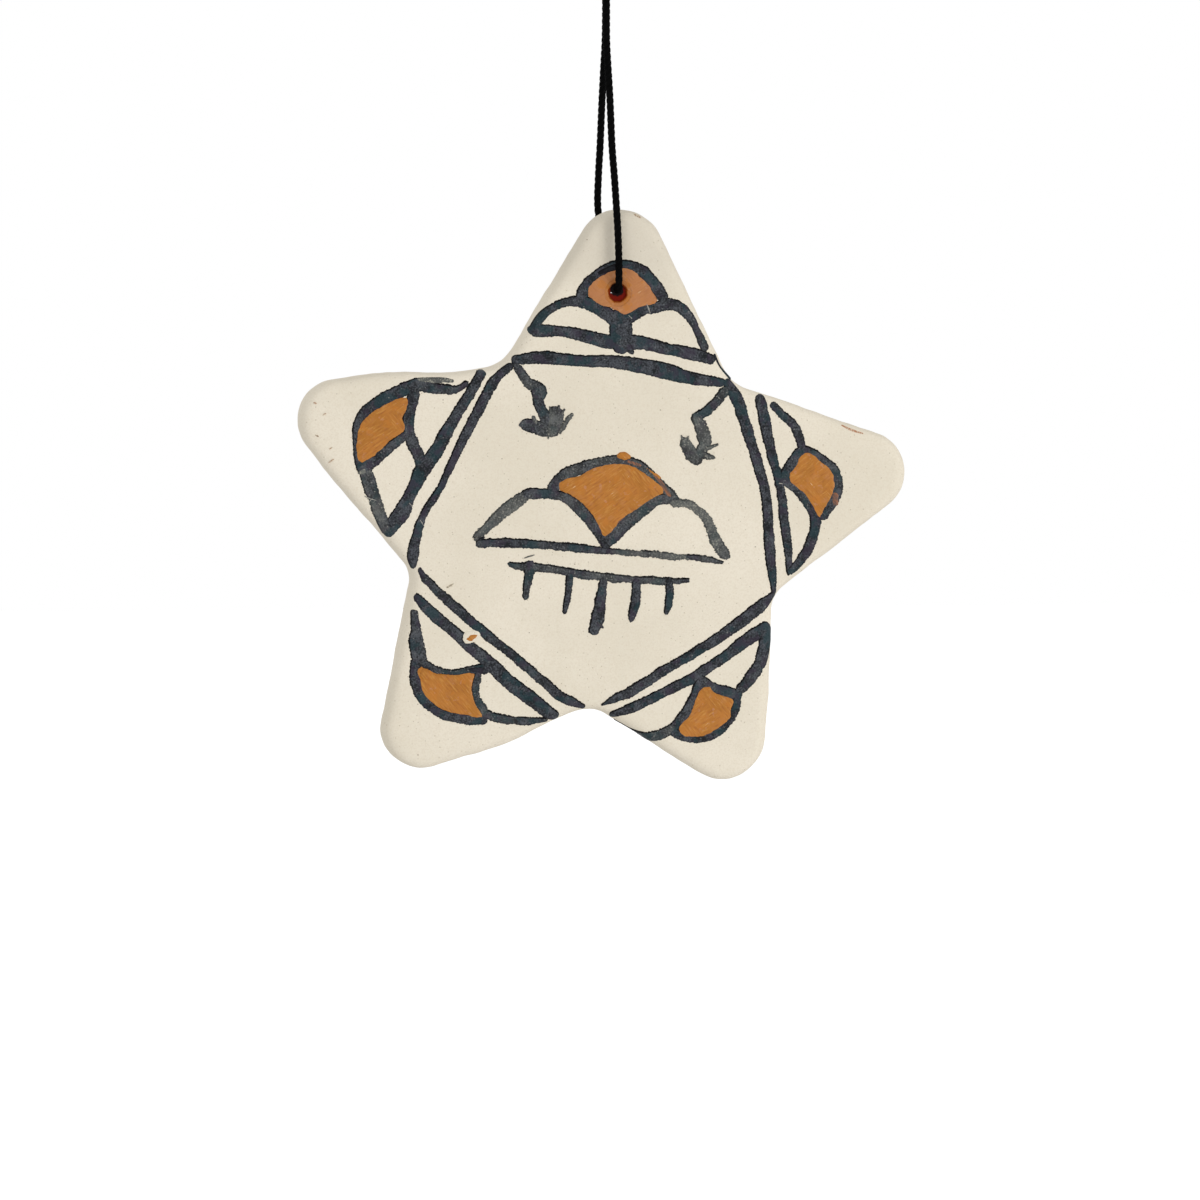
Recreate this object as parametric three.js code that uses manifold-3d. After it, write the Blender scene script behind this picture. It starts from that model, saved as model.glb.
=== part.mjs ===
// A hanging star ornament. A hand-cut slab of unglazed clay with five rounded arms hangs on a loop of thin
// cord, which goes through a hole in the top arm and is tied above the star in an overhand knot with two
// short tails.
//
// Millimetres, +Z up. The star's painted front faces -Y and its right-hand arm points to +X. The origin is
// the hang point, in the middle of the knot: the loop hangs straight below it.

import * as THREE from "three";
import { mergeVertices } from "three/addons/utils/BufferGeometryUtils.js";
import Module from "manifold-3d";

const wasm = await Module();
wasm.setup();

// The clay slab
const slabThickness = 6.0;
const edgeRound = 1.9;
const edgeFacets = 5;

// The star's outline: round tips and round valleys, joined by straight cuts
const armLength = 38.9; // from the star's middle to the tip of an average arm
const valleyDistance = 0.614 * armLength; // from the star's middle to an average valley
const tipRadius = 5.2;
const valleyRadius = 4.4;
const arcFacets = 6;

// It is cut by hand, so no two arms are alike. Going clockwise from the top arm, each arm has the direction
// of its tip in degrees from +X, and its reach and the radius of its tip as shares of the average arm's.
const arms = [
  { toward: 84.4, reach: 0.995, round: 1.02 },
  { toward: 9.5, reach: 1.015, round: 0.98 },
  { toward: -59.3, reach: 0.956, round: 1.06 },
  { toward: -129.7, reach: 1.005, round: 0.96 },
  { toward: 159.0, reach: 1.023, round: 1.0 },
];

// The valley after each arm has its direction, and its reach and radius as shares of the average valley's.
const valleys = [
  { toward: 45.4, reach: 1.018, round: 1.11 },
  { toward: -24.0, reach: 1.03, round: 0.89 },
  { toward: -92.1, reach: 0.996, round: 1.14 },
  { toward: 195.7, reach: 1.009, round: 0.75 },
  { toward: 120.9, reach: 0.959, round: 1.07 },
];

// The hole, pushed through the top arm's middle line, with lips that the tool left rounded
const holeRadius = 1.05;
const holeDrop = 10.35; // from the arm's tip down to the hole's middle
const holeOffset = 0.15; // to the left of the arm's middle line
const lipRadius = 0.6;
const holeFacets = 28;
const lipFacets = 4;

// The cord
const cordDiameter = 0.8;
const cordSides = 8;
const cordSteps = 80;
const restGap = 0.3; // between the cord and the clay that hangs on it
const strandStandOff = 0.8; // between each strand and the face of the clay that it passes
const bendRadius = 1.6; // radius of the cord's middle line where it turns into the hole
const bendSteps = 3;
const pairSpacing = 0.9; // between the middle lines of the two strands where they run together
const cordDrop = 46.2; // from the hang point to the cord's middle line in the hole
const cordSide = 1.1; // the hole lies this far to the right of the hang point

// The knot: its height is shared out about the hang point
const knotFoot = 4.0; // from the hang point down to where the loop's strands come out
const knotHead = 2.0; // from the hang point up to where the tails come out
const knotLobe = 1.85; // from the knot's middle to the middle line of its lobes
const knotEye = 0.78; // from the knot's middle to the nearest middle line
const knotDepth = 0.86; // how far its crossings swing to the front and the back
const knotSide = 1.35; // the knot's middle lies this far to the right of the cord's line
const knotOpening = 0.8; // share of the closed knot's half turn at which its ends leave it
const doubledDiameter = 1.3; // of the two strands pulled tight against each other
const doubledSides = 10;
const knotTurnPoints = 30;
const knotSteps = 64;
const tailSpacing = 0.6; // between the two tails where they come out of the knot
const tailRoot = 1.0; // how deep the tails start inside the knot
const tailSteps = 10;

const cordRadius = cordDiameter / 2;
const slabFace = slabThickness / 2;
const strandOut = slabFace + strandStandOff + cordRadius;

const clayMaterial = new THREE.MeshStandardMaterial({ color: "#e5dcc9", roughness: 0.9, metalness: 0 });
const cordMaterial = new THREE.MeshStandardMaterial({ color: "#0b0b0d", roughness: 0.75, metalness: 0 });

// The cord's way beside the star and above it, chosen by hand. Each row has the height above the hole, the
// front strand's and the back strand's place to the right of the hang point, and the share of the way out
// from the pair's own spacing to the strand's place in front of or behind the slab.
const strandWay = [
  { above: 34.6, front: 0.0, back: 0.0, out: 0.0 },
  { above: 30.8, front: 0.0, back: -0.05, out: 0.04 },
  { above: 27.4, front: 0.14, back: -0.18, out: 0.16 },
  { above: 23.9, front: 0.28, back: -0.29, out: 0.32 },
  { above: 17.7, front: 0.42, back: -0.42, out: 0.62 },
  { above: 14.0, front: 0.63, back: -0.54, out: 0.8 },
  { above: 10.0, front: 0.84, back: -0.54, out: 0.93 },
  { above: 6.3, front: 1.02, back: 0.1, out: 0.99 },
  { above: 3.3, front: 1.1, back: 0.85, out: 1.0 },
];

// The two cut tails stand away from each other. Each row is a point to the right of, behind and above the
// hang point.
const frontTail = [
  [-0.2, -0.6, 2.8],
  [-0.8, -0.9, 3.7],
  [-1.7, -1.2, 4.3],
  [-2.7, -1.4, 4.5],
];
const backTail = [
  [0.1, 0.6, 3.0],
  [0.6, 0.9, 4.2],
  [1.2, 1.2, 5.3],
  [1.6, 1.4, 6.6],
];

const weldDistance = 1e-4; // corners closer than this are one corner

function polar(degrees, distance) {
  const angle = THREE.MathUtils.degToRad(degrees);
  return new THREE.Vector2(Math.cos(angle) * distance, Math.sin(angle) * distance);
}

// The circles that the outline runs round, clockwise: each tip has its circle on the right hand, each valley
// on the left.
function outlineCircles() {
  return arms.flatMap((arm, i) => {
    const valley = valleys[i];
    const tip = tipRadius * arm.round;
    const dip = valleyRadius * valley.round;
    return [
      { centre: polar(arm.toward, armLength * arm.reach - tip), radius: tip, side: 1 },
      { centre: polar(valley.toward, valleyDistance * valley.reach + dip), radius: dip, side: -1 },
    ];
  });
}

// The straight cut from one circle to the next touches both.
function straightCut(from, to) {
  const across = to.centre.clone().sub(from.centre);
  const turn = Math.asin((from.radius + to.radius) / across.length());
  const left = across.normalize().rotateAround(new THREE.Vector2(), Math.PI / 2 - from.side * turn);
  return {
    start: from.centre.clone().addScaledVector(left, from.radius * from.side),
    end: to.centre.clone().addScaledVector(left, to.radius * to.side),
  };
}

// The star's outline in its own plane, about its middle
function starShape() {
  const circles = outlineCircles();
  const count = circles.length;
  const cuts = circles.map((circle, i) => straightCut(circle, circles[(i + 1) % count]));
  const shape = new THREE.Shape();
  circles.forEach((circle, i) => {
    const from = cuts[(i + count - 1) % count].end.clone().sub(circle.centre).angle();
    const to = cuts[i].start.clone().sub(circle.centre).angle();
    shape.absarc(circle.centre.x, circle.centre.y, circle.radius, from, to, circle.side === 1);
  });
  return shape;
}

function solidOf(geometry) {
  const bare = new THREE.BufferGeometry();
  bare.setAttribute("position", geometry.getAttribute("position"));
  bare.setIndex(geometry.getIndex());
  const merged = mergeVertices(bare, weldDistance);
  return new wasm.Manifold(
    new wasm.Mesh({
      numProp: 3,
      vertProperties: merged.getAttribute("position").array,
      triVerts: new Uint32Array(merged.getIndex().array),
    }),
  );
}

function geometryOf(solid) {
  const mesh = solid.getMesh();
  const geometry = new THREE.BufferGeometry();
  geometry.setAttribute("position", new THREE.BufferAttribute(mesh.vertProperties, 3));
  geometry.setIndex(new THREE.BufferAttribute(mesh.triVerts, 1));
  geometry.computeVertexNormals();
  return geometry;
}

// The slab lies in the XZ plane about the star's middle, with its thickness along Y.
function slabGeometry() {
  const geometry = new THREE.ExtrudeGeometry(starShape(), {
    depth: slabThickness - 2 * edgeRound,
    curveSegments: arcFacets,
    bevelEnabled: true,
    bevelThickness: edgeRound,
    bevelSize: edgeRound,
    bevelOffset: -edgeRound,
    bevelSegments: edgeFacets,
  });
  geometry.translate(0, 0, edgeRound - slabFace);
  geometry.rotateX(Math.PI / 2);
  return geometry;
}

function holePlace() {
  const topArm = arms[0];
  const inPlane = polar(topArm.toward, armLength * topArm.reach - holeDrop);
  inPlane.add(polar(topArm.toward + 90, holeOffset));
  return new THREE.Vector3(inPlane.x, 0, inPlane.y);
}

// What the hole takes out of the slab: a bore that widens in a quarter circle to each face. The lathe turns
// it about Y.
function holeCutter() {
  const beyond = slabFace + lipRadius;
  const profile = [new THREE.Vector2(0, -beyond), new THREE.Vector2(holeRadius + lipRadius, -beyond)];
  for (const face of [-1, 1]) {
    for (let i = 0; i <= lipFacets; i += 1) {
      const share = face < 0 ? i / lipFacets : 1 - i / lipFacets;
      const angle = (share * Math.PI) / 2;
      profile.push(
        new THREE.Vector2(
          holeRadius + lipRadius * (1 - Math.sin(angle)),
          face * (slabFace - lipRadius * (1 - Math.cos(angle))),
        ),
      );
    }
  }
  profile.push(new THREE.Vector2(holeRadius + lipRadius, beyond), new THREE.Vector2(0, beyond));
  const place = holePlace();
  return new THREE.LatheGeometry(profile, holeFacets).translate(place.x, place.y, place.z);
}

function roundSection(diameter, sides) {
  return new THREE.Shape(Array.from({ length: sides }, (_, i) => polar((360 * i) / sides, diameter / 2)));
}

function tube(section, points, steps) {
  const path = new THREE.CatmullRomCurve3(points, false, "centripetal");
  return new THREE.ExtrudeGeometry(section, { steps, extrudePath: path, bevelEnabled: false });
}

// The turn from beside the slab into the hole, as points on a quarter circle. side is -1 in front and 1
// behind.
function bendPoints(side) {
  return Array.from({ length: bendSteps + 1 }, (_, i) => {
    const angle = (i / bendSteps) * (Math.PI / 2);
    return new THREE.Vector3(
      cordSide,
      side * (strandOut - bendRadius * (1 - Math.cos(angle))),
      -cordDrop + bendRadius * (1 - Math.sin(angle)),
    );
  });
}

// One strand from the knot's foot down to the middle of the hole
function strandPoints(side) {
  const pairOut = pairSpacing / 2;
  const points = [new THREE.Vector3(0, side * pairOut, -knotFoot - restGap)];
  for (const row of strandWay) {
    const out = THREE.MathUtils.lerp(pairOut, strandOut, row.out);
    points.push(new THREE.Vector3(side < 0 ? row.front : row.back, side * out, row.above - cordDrop));
  }
  points.push(...bendPoints(side));
  return points;
}

function loopPoints() {
  const hole = new THREE.Vector3(cordSide, 0, -cordDrop);
  return [...strandPoints(-1), hole, ...strandPoints(1).reverse()];
}

// An overhand knot is a trefoil in the XZ plane that opens at its left lobe. turn runs from -1 to 1 round the
// closed form.
function trefoilPoint(turn) {
  const angle = turn * Math.PI;
  const slow = (knotLobe - knotEye) / 2;
  const fast = (knotLobe + knotEye) / 2;
  return new THREE.Vector3(
    knotSide + slow * Math.cos(angle) - fast * Math.cos(2 * angle),
    knotDepth * Math.sin(3 * angle),
    -slow * Math.sin(angle) - fast * Math.sin(2 * angle),
  );
}

// The doubled cord, from the knot's foot through the knot to its head
function knotPoints() {
  const points = [new THREE.Vector3(0, 0, -knotFoot), new THREE.Vector3(0, 0, -knotFoot + doubledDiameter)];
  for (let i = 0; i <= knotTurnPoints; i += 1) {
    points.push(trefoilPoint(knotOpening * (-1 + (2 * i) / knotTurnPoints)));
  }
  points.push(new THREE.Vector3(0, 0, knotHead));
  return points;
}

// One tail, from inside the knot's head to its cut end
function tailSolid(side, way) {
  const root = new THREE.Vector3(0, (side * tailSpacing) / 2, knotHead - tailRoot);
  const points = [root, ...way.map(([x, y, z]) => new THREE.Vector3(x, y, z))];
  return solidOf(tube(roundSection(cordDiameter, cordSides), points, tailSteps));
}

function named(name, geometry, material) {
  const mesh = new THREE.Mesh(geometry, material);
  mesh.name = name;
  return mesh;
}

function starBody() {
  const pierced = solidOf(slabGeometry()).subtract(solidOf(holeCutter()));
  return named("star_body", geometryOf(pierced), clayMaterial);
}

function hangingCord() {
  const loop = tube(roundSection(cordDiameter, cordSides), loopPoints(), cordSteps);
  return named("hanging_cord", loop, cordMaterial);
}

function cordKnot() {
  const doubled = solidOf(tube(roundSection(doubledDiameter, doubledSides), knotPoints(), knotSteps));
  const tied = doubled.add(tailSolid(-1, frontTail)).add(tailSolid(1, backTail));
  return named("cord_knot", geometryOf(tied), cordMaterial);
}

// The star hangs on the cord: the top of its hole lies just over the cord's middle line.
const star = new THREE.Group();
const hole = holePlace();
const holeBelowCord = holeRadius - cordRadius - restGap;
star.position.set(cordSide - hole.x, 0, -cordDrop - holeBelowCord - hole.z);
star.add(starBody());

const ornament = new THREE.Group();
ornament.add(star, hangingCord(), cordKnot());

export default ornament;
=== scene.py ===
# A star ornament of unglazed clay, painted with clouds, rain and lightning, on a loop of twisted black cord.
#
# Metres, +Z up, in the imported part's frame. The origin is the hang point in the middle of the cord's knot,
# the star's painted front faces -Y and its right-hand arm points to +X. Sizes and places are written in
# millimetres and multiplied by MM where they become geometry.

import math

import bmesh
import bpy
import numpy as np
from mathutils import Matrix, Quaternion, Vector, noise
from mathutils.bvhtree import BVHTree
from mathutils.geometry import delaunay_2d_cdt


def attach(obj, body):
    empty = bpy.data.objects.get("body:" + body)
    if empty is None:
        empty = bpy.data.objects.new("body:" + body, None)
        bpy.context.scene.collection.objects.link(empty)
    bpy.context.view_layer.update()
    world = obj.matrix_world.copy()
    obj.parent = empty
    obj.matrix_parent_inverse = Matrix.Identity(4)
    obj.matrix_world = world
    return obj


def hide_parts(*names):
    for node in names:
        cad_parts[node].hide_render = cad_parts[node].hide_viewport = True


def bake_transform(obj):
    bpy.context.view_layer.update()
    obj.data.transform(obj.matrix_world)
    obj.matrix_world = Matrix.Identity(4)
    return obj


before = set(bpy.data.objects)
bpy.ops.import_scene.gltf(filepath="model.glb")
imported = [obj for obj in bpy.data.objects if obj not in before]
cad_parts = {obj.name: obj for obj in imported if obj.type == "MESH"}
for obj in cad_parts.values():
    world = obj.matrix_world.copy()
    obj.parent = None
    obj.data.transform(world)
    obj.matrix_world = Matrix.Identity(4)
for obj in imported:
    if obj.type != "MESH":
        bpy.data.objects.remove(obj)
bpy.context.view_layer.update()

MM = 0.001

# The camera stands a little to the left of the star and a little above it.
CAMERA_DISTANCE = 1500
CAMERA_FIELD = 150  # width of the picture at the star
CAMERA_LEFT = math.radians(7)
CAMERA_ABOVE = math.radians(3)
CAMERA_AIM = (-0.76, 0, -85.03)
SENSOR_WIDTH = 36

# The cord, as in the part's source
CORD_DIAMETER = 0.8
REST_GAP = 0.3
STRAND_STAND_OFF = 0.8
BEND_RADIUS = 1.6
BEND_STEPS = 3
PAIR_SPACING = 0.9
CORD_DROP = 46.2
CORD_SIDE = 1.1
KNOT_FOOT = 4.0

# Height above the hole, the front and the back strand's place to the right of the hang point, and the share
# of the way out to the strand's place in front of or behind the star
STRAND_WAY = [
    (34.6, 0.0, 0.0, 0.0),
    (30.8, 0.0, -0.05, 0.04),
    (27.4, 0.14, -0.18, 0.16),
    (23.9, 0.28, -0.29, 0.32),
    (17.7, 0.42, -0.42, 0.62),
    (14.0, 0.63, -0.54, 0.8),
    (10.0, 0.84, -0.54, 0.93),
    (6.3, 1.02, 0.1, 0.99),
    (3.3, 1.1, 0.85, 1.0),
]

# The cord is laid up from four plies, a little fuller than the part's smooth tube.
PLY_COUNT = 4
PLY_RADIUS = 0.27
PLY_CORNERS = 10
PLY_SEAT = 0.2  # from the cord's middle to each ply's
CORD_LAY = 3.2
CORD_PITCH = 0.16  # between the rings of a ply's mesh

# The knot, as in the part's source, with its two strands side by side
KNOT_HEAD = 2.0
KNOT_LOBE = 1.85
KNOT_EYE = 0.78
KNOT_DEPTH = 0.86
KNOT_SIDE = 1.35
KNOT_OPENING = 0.8
KNOT_TURN_POINTS = 30
KNOT_NECK = 1.3  # how far the cord runs straight up from the foot
KNOT_PITCH = 0.4
KNOT_STRAND_SPACING = 0.6
FRONT_TAIL = [(-0.2, -0.6, 2.8), (-0.8, -0.9, 3.7), (-1.7, -1.2, 4.3), (-2.7, -1.4, 4.5)]
BACK_TAIL = [(0.1, 0.6, 3.0), (0.6, 0.9, 4.2), (1.2, 1.2, 5.3), (1.6, 1.4, 6.6)]

# The clay slab, as in the part's source
SLAB_FACE = 3.0  # half its thickness
EDGE_ROUND = 1.9
ARM_LENGTH = 38.9
VALLEY_DISTANCE = 0.614 * ARM_LENGTH
TIP_RADIUS = 5.2
VALLEY_RADIUS = 4.4

# The arms, clockwise from the top one, and the valley after each: direction in degrees anticlockwise from +X,
# and reach and roundness as shares of the average
ARMS = [
    (84.4, 0.995, 1.02),
    (9.5, 1.015, 0.98),
    (-59.3, 0.956, 1.06),
    (-129.7, 1.005, 0.96),
    (159.0, 1.023, 1.0),
]
VALLEYS = [
    (45.4, 1.018, 1.11),
    (-24.0, 1.03, 0.89),
    (-92.1, 0.996, 1.14),
    (195.7, 1.009, 0.75),
    (120.9, 0.959, 1.07),
]

HOLE_RADIUS = 1.05
HOLE_DROP = 10.35
HOLE_OFFSET = 0.15
LIP_RADIUS = 0.6

# Where the paint in the hole turns brown and red, pooled paint darkened with painted shade, and then black as
# painted
# shade: distances from the hole's middle and from the cord's, and depths from the front face
BROWN_FROM = 1.3
BROWN_TO = 1.16
RED_TO = 1.0
CORD_BLACK = (0.95, 0.75)
DEEP_BLACK = (0.9, 1.6)


def in_plane(degrees, distance):
    angle = math.radians(degrees)
    return Vector((math.cos(angle) * distance, math.sin(angle) * distance))


# The hole's middle from the star's middle, and the star's middle from the hang point
HOLE = in_plane(ARMS[0][0], ARM_LENGTH * ARMS[0][1] - HOLE_DROP) + in_plane(ARMS[0][0] + 90, HOLE_OFFSET)
STAR_MIDDLE = (CORD_SIDE - HOLE.x, -CORD_DROP - (HOLE_RADIUS - CORD_DIAMETER / 2 - REST_GAP) - HOLE.y)


def stood_up(flat, y):
    """Places given from the star's middle, from the hang point and y behind the middle of the slab."""
    return [(STAR_MIDDLE[0] + x, y, STAR_MIDDLE[1] + z) for x, z in flat]


def on_star(x, z, y=0.0):
    """A place given from the star's middle, in metres."""
    return Vector(stood_up([(x, z)], y)[0]) * MM


SMOOTH_STEPS = 24  # between two given points of a smooth line, before it is spaced evenly


def smooth_line(points, pitch, closed=False):
    """Points about pitch apart on a smooth line through the given ones."""
    p = np.array(points, float)
    if closed:
        p = np.vstack([p[-1], p, p[0], p[1]])
    else:
        p = np.vstack([2 * p[0] - p[1], p, 2 * p[-1] - p[-2]])
    stretches = []
    for a, b, c, d in zip(p, p[1:], p[2:], p[3:]):
        tb = np.linalg.norm(b - a) ** 0.5
        tc = tb + np.linalg.norm(c - b) ** 0.5
        td = tc + np.linalg.norm(d - c) ** 0.5
        t = np.linspace(tb, tc, SMOOTH_STEPS, endpoint=False)[:, None]
        ab = a + (b - a) * t / tb
        bc = b + (c - b) * (t - tb) / (tc - tb)
        cd = c + (d - c) * (t - tc) / (td - tc)
        abc = ab + (bc - ab) * t / tc
        bcd = bc + (cd - bc) * (t - tb) / (td - tb)
        stretches.append(abc + (bcd - abc) * (t - tb) / (tc - tb))
    dense = np.vstack([*stretches, p[-2]])
    run = np.concatenate([[0], np.cumsum(np.linalg.norm(np.diff(dense, axis=0), axis=1))])
    stations = np.linspace(0, run[-1], max(3, round(run[-1] / pitch)) + 1)
    if closed:
        stations = stations[:-1]
    return np.stack([np.interp(stations, run, dense[:, axis]) for axis in range(p.shape[1])], axis=1)


# Node trees


def place(tree, kind, sockets=None, **settings):
    """A new node with its settings, and its inputs linked or set."""
    made = tree.nodes.new(kind)
    for key, value in settings.items():
        setattr(made, key, value)
    for key, value in (sockets or {}).items():
        join(tree, made.inputs[key], value)
    return made


def join(tree, socket, value):
    if isinstance(value, bpy.types.NodeSocket):
        tree.links.new(value, socket)
    else:
        socket.default_value = value


def maths(tree, operation, *values, clamp=False):
    made = place(tree, "ShaderNodeMath", dict(enumerate(values)), operation=operation, use_clamp=clamp)
    return made.outputs[0]


def times(tree, first, *others):
    """The product of two or more values."""
    for value in others:
        first = maths(tree, "MULTIPLY", first, value)
    return first


def less(tree, value, taken):
    return maths(tree, "SUBTRACT", value, taken)


def vector_maths(tree, operation, *values, scale=None):
    made = place(tree, "ShaderNodeVectorMath", dict(enumerate(values)), operation=operation)
    if scale is not None:
        join(tree, made.inputs["Scale"], scale)
    return made.outputs["Value" if operation == "DOT_PRODUCT" else "Vector"]


def moved(tree, start, direction, distance):
    """start moved along a direction."""
    return vector_maths(tree, "ADD", start, vector_maths(tree, "SCALE", direction, scale=distance))


def part_of(tree, vector, axis):
    return place(tree, "ShaderNodeSeparateXYZ", {"Vector": vector}).outputs[axis]


def grain(tree, where, size, detail=3.0, offset=0.0):
    """A noise whose features are about size millimetres, from 0 to 1."""
    sockets = {"Vector": where, "W": offset, "Scale": 1 / (size * MM), "Detail": detail, "Roughness": 0.55}
    return place(tree, "ShaderNodeTexNoise", sockets, noise_dimensions="4D").outputs[0]


def wobble(tree, where, size, detail=3.0, offset=0.0):
    """The same noise, from -0.5 to 0.5."""
    return less(tree, grain(tree, where, size, detail, offset), 0.5)


def ramp(tree, value, low, high, to_low=0.0, to_high=1.0):
    """value from low to high becomes to_low to to_high, smoothly."""
    sockets = {"Value": value, "From Min": low, "From Max": high, "To Min": to_low, "To Max": to_high}
    return place(tree, "ShaderNodeMapRange", sockets, interpolation_type="SMOOTHSTEP").outputs["Result"]


def new_tree(name):
    """A geometry tree that takes and gives geometry, as (tree, the geometry that it is given)."""
    tree = bpy.data.node_groups.new(name, "GeometryNodeTree")
    for direction in ("INPUT", "OUTPUT"):
        tree.interface.new_socket("Geometry", in_out=direction, socket_type="NodeSocketGeometry")
    return tree, tree.nodes.new("NodeGroupInput").outputs["Geometry"]


def close_tree(tree, geometry):
    """Ends a geometry tree with smooth faces."""
    smooth = place(tree, "GeometryNodeSetShadeSmooth", {"Geometry": geometry})
    place(tree, "NodeGroupOutput", {"Geometry": smooth.outputs[0]})


def stored(tree, geometry, **values):
    """The geometry with each value kept on its points under the value's name."""
    for name, value in values.items():
        sockets = {"Geometry": geometry, "Name": name, "Value": value}
        kind = "FLOAT_VECTOR" if value.type == "VECTOR" else "FLOAT"
        kept = place(tree, "GeometryNodeStoreNamedAttribute", sockets, data_type=kind, domain="POINT")
        geometry = kept.outputs[0]
    return geometry


def named(tree, name, kind="FLOAT"):
    return place(tree, "GeometryNodeInputNamedAttribute", {"Name": name}, data_type=kind).outputs[0]


def worked(thing, tree, material):
    """Runs a geometry tree on an object and leaves the result as its plain mesh."""
    modifier = thing.modifiers.new(tree.name, "NODES")
    modifier.node_group = tree
    bpy.context.view_layer.update()
    graph = bpy.context.evaluated_depsgraph_get()
    result = thing.evaluated_get(graph)
    made = bpy.data.meshes.new_from_object(result, preserve_all_data_layers=True, depsgraph=graph)
    thing.modifiers.remove(modifier)
    thing.data = made
    made.name = thing.name
    made.materials.append(material)
    face_outwards(thing)
    return thing


def face_outwards(thing, weld=0):
    """Turns the faces outwards, once corners less than weld apart are one."""
    shell = bmesh.new()
    shell.from_mesh(thing.data)
    if weld:
        bmesh.ops.remove_doubles(shell, verts=shell.verts, dist=weld)
    bmesh.ops.recalc_face_normals(shell, faces=shell.faces)
    shell.to_mesh(thing.data)
    shell.free()


def mesh_object(name, corners, faces=(), edges=()):
    mesh = bpy.data.meshes.new(name)
    mesh.from_pydata([tuple(c) for c in corners], [tuple(e) for e in edges], [tuple(f) for f in faces])
    thing = bpy.data.objects.new(name, mesh)
    bpy.context.scene.collection.objects.link(thing)
    return thing


def solid(name, corners, faces, material, smooth=True):
    """A closed piece, from corners in metres."""
    thing = mesh_object(name, corners, faces)
    face_outwards(thing)
    thing.data.materials.append(material)
    if smooth:
        thing.data.shade_smooth()
    return thing


def line_object(name, lines, **attributes):
    """Polylines as edges, with a value for each point under each attribute's name."""
    edges = []
    start = 0
    for line in lines:
        edges += [(i, i + 1) for i in range(start, start + len(line) - 1)]
        start += len(line)
    thing = mesh_object(name, np.vstack(lines) * MM, edges=edges)
    for key, values in attributes.items():
        layer = thing.data.attributes.new(key, "FLOAT", "POINT")
        layer.data.foreach_set("value", np.concatenate(values).astype(np.float32))
    return thing


# Camera


def look_from(left, above, distance, aim):
    back = Vector((-math.sin(left) * math.cos(above), -math.cos(left) * math.cos(above), math.sin(above)))
    camera = bpy.data.objects.new("camera", bpy.data.cameras.new("camera"))
    camera.data.sensor_width = SENSOR_WIDTH
    camera.data.lens = SENSOR_WIDTH * distance / CAMERA_FIELD
    camera.data.clip_start = 0.01
    camera.data.clip_end = 20
    camera.location = (Vector(aim) + back * distance) * MM
    camera.rotation_mode = "QUATERNION"
    camera.rotation_quaternion = (-back).to_track_quat("-Z", "Y")
    bpy.context.scene.collection.objects.link(camera)
    bpy.context.scene.camera = camera


look_from(CAMERA_LEFT, CAMERA_ABOVE, CAMERA_DISTANCE, CAMERA_AIM)


# Materials


def new_material(name):
    material = bpy.data.materials.new(name)
    material.use_nodes = True
    tree = material.node_tree
    return material, tree, tree.nodes["Principled BSDF"]


def surface(tree, shader, body, roughness, specular=0.5, relief=None, depth=0):
    """Sets a shader's colour and gloss, and its relief, whose height from 0 to 1 stands depth millimetres."""
    join(tree, shader.inputs["Base Color"], body)
    shader.inputs["Roughness"].default_value = roughness
    shader.inputs["Specular IOR Level"].default_value = specular
    if relief is not None:
        bump = place(tree, "ShaderNodeBump", {"Height": relief, "Distance": depth * MM, "Strength": 1.0})
        join(tree, shader.inputs["Normal"], bump.outputs[0])


def colour(code):
    """A colour as a screen shows it, such as e5dcc9, in the linear light that shaders use."""
    parts = [int(code[i : i + 2], 16) / 255 for i in (0, 2, 4)]
    return (*[c / 12.92 if c <= 0.04045 else ((c + 0.055) / 1.055) ** 2.4 for c in parts], 1)


def layered(tree, body, *layers):
    """A colour, and over it each layer's share of the layer's own."""
    body = colour(body) if isinstance(body, str) else body
    for share, over in layers:
        over = colour(over) if isinstance(over, str) else over
        body = place(tree, "ShaderNodeMix", {0: share, 6: body, 7: over}, data_type="RGBA").outputs[2]
    return body


def object_place(tree):
    return place(tree, "ShaderNodeTexCoord").outputs["Object"]


def attribute(tree, name):
    return place(tree, "ShaderNodeAttribute", attribute_name=name).outputs["Fac"]


def spots(tree, where, spacing, size, share):
    """1 in round spots of about size millimetres, in a share of the cells that are spacing apart."""
    sockets = {"Vector": where, "Scale": 1 / (spacing * MM), "Randomness": 1.0}
    cells = place(tree, "ShaderNodeTexVoronoi", sockets)
    reach = size / 2 / spacing
    near = ramp(tree, cells.outputs["Distance"], reach, reach * 0.4)
    chosen = place(tree, "ShaderNodeSeparateColor", {"Color": cells.outputs["Color"]})
    return times(tree, near, maths(tree, "LESS_THAN", chosen.outputs[0], share))


def blotches(tree, where, size, offset, low, high, most=1.0, detail=3.0):
    """0 to most in patches of about size millimetres, where the noise goes from low to high."""
    return ramp(tree, grain(tree, where, size, detail, offset), low, high, 0, most)


def rising(tree, where, low, high, most):
    """0 up to low millimetres above the star's middle, and most from high upwards."""
    foot, head = on_star(0, low).z, on_star(0, high).z
    return ramp(tree, part_of(tree, where, "Z"), foot, head, 0, most)


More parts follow.
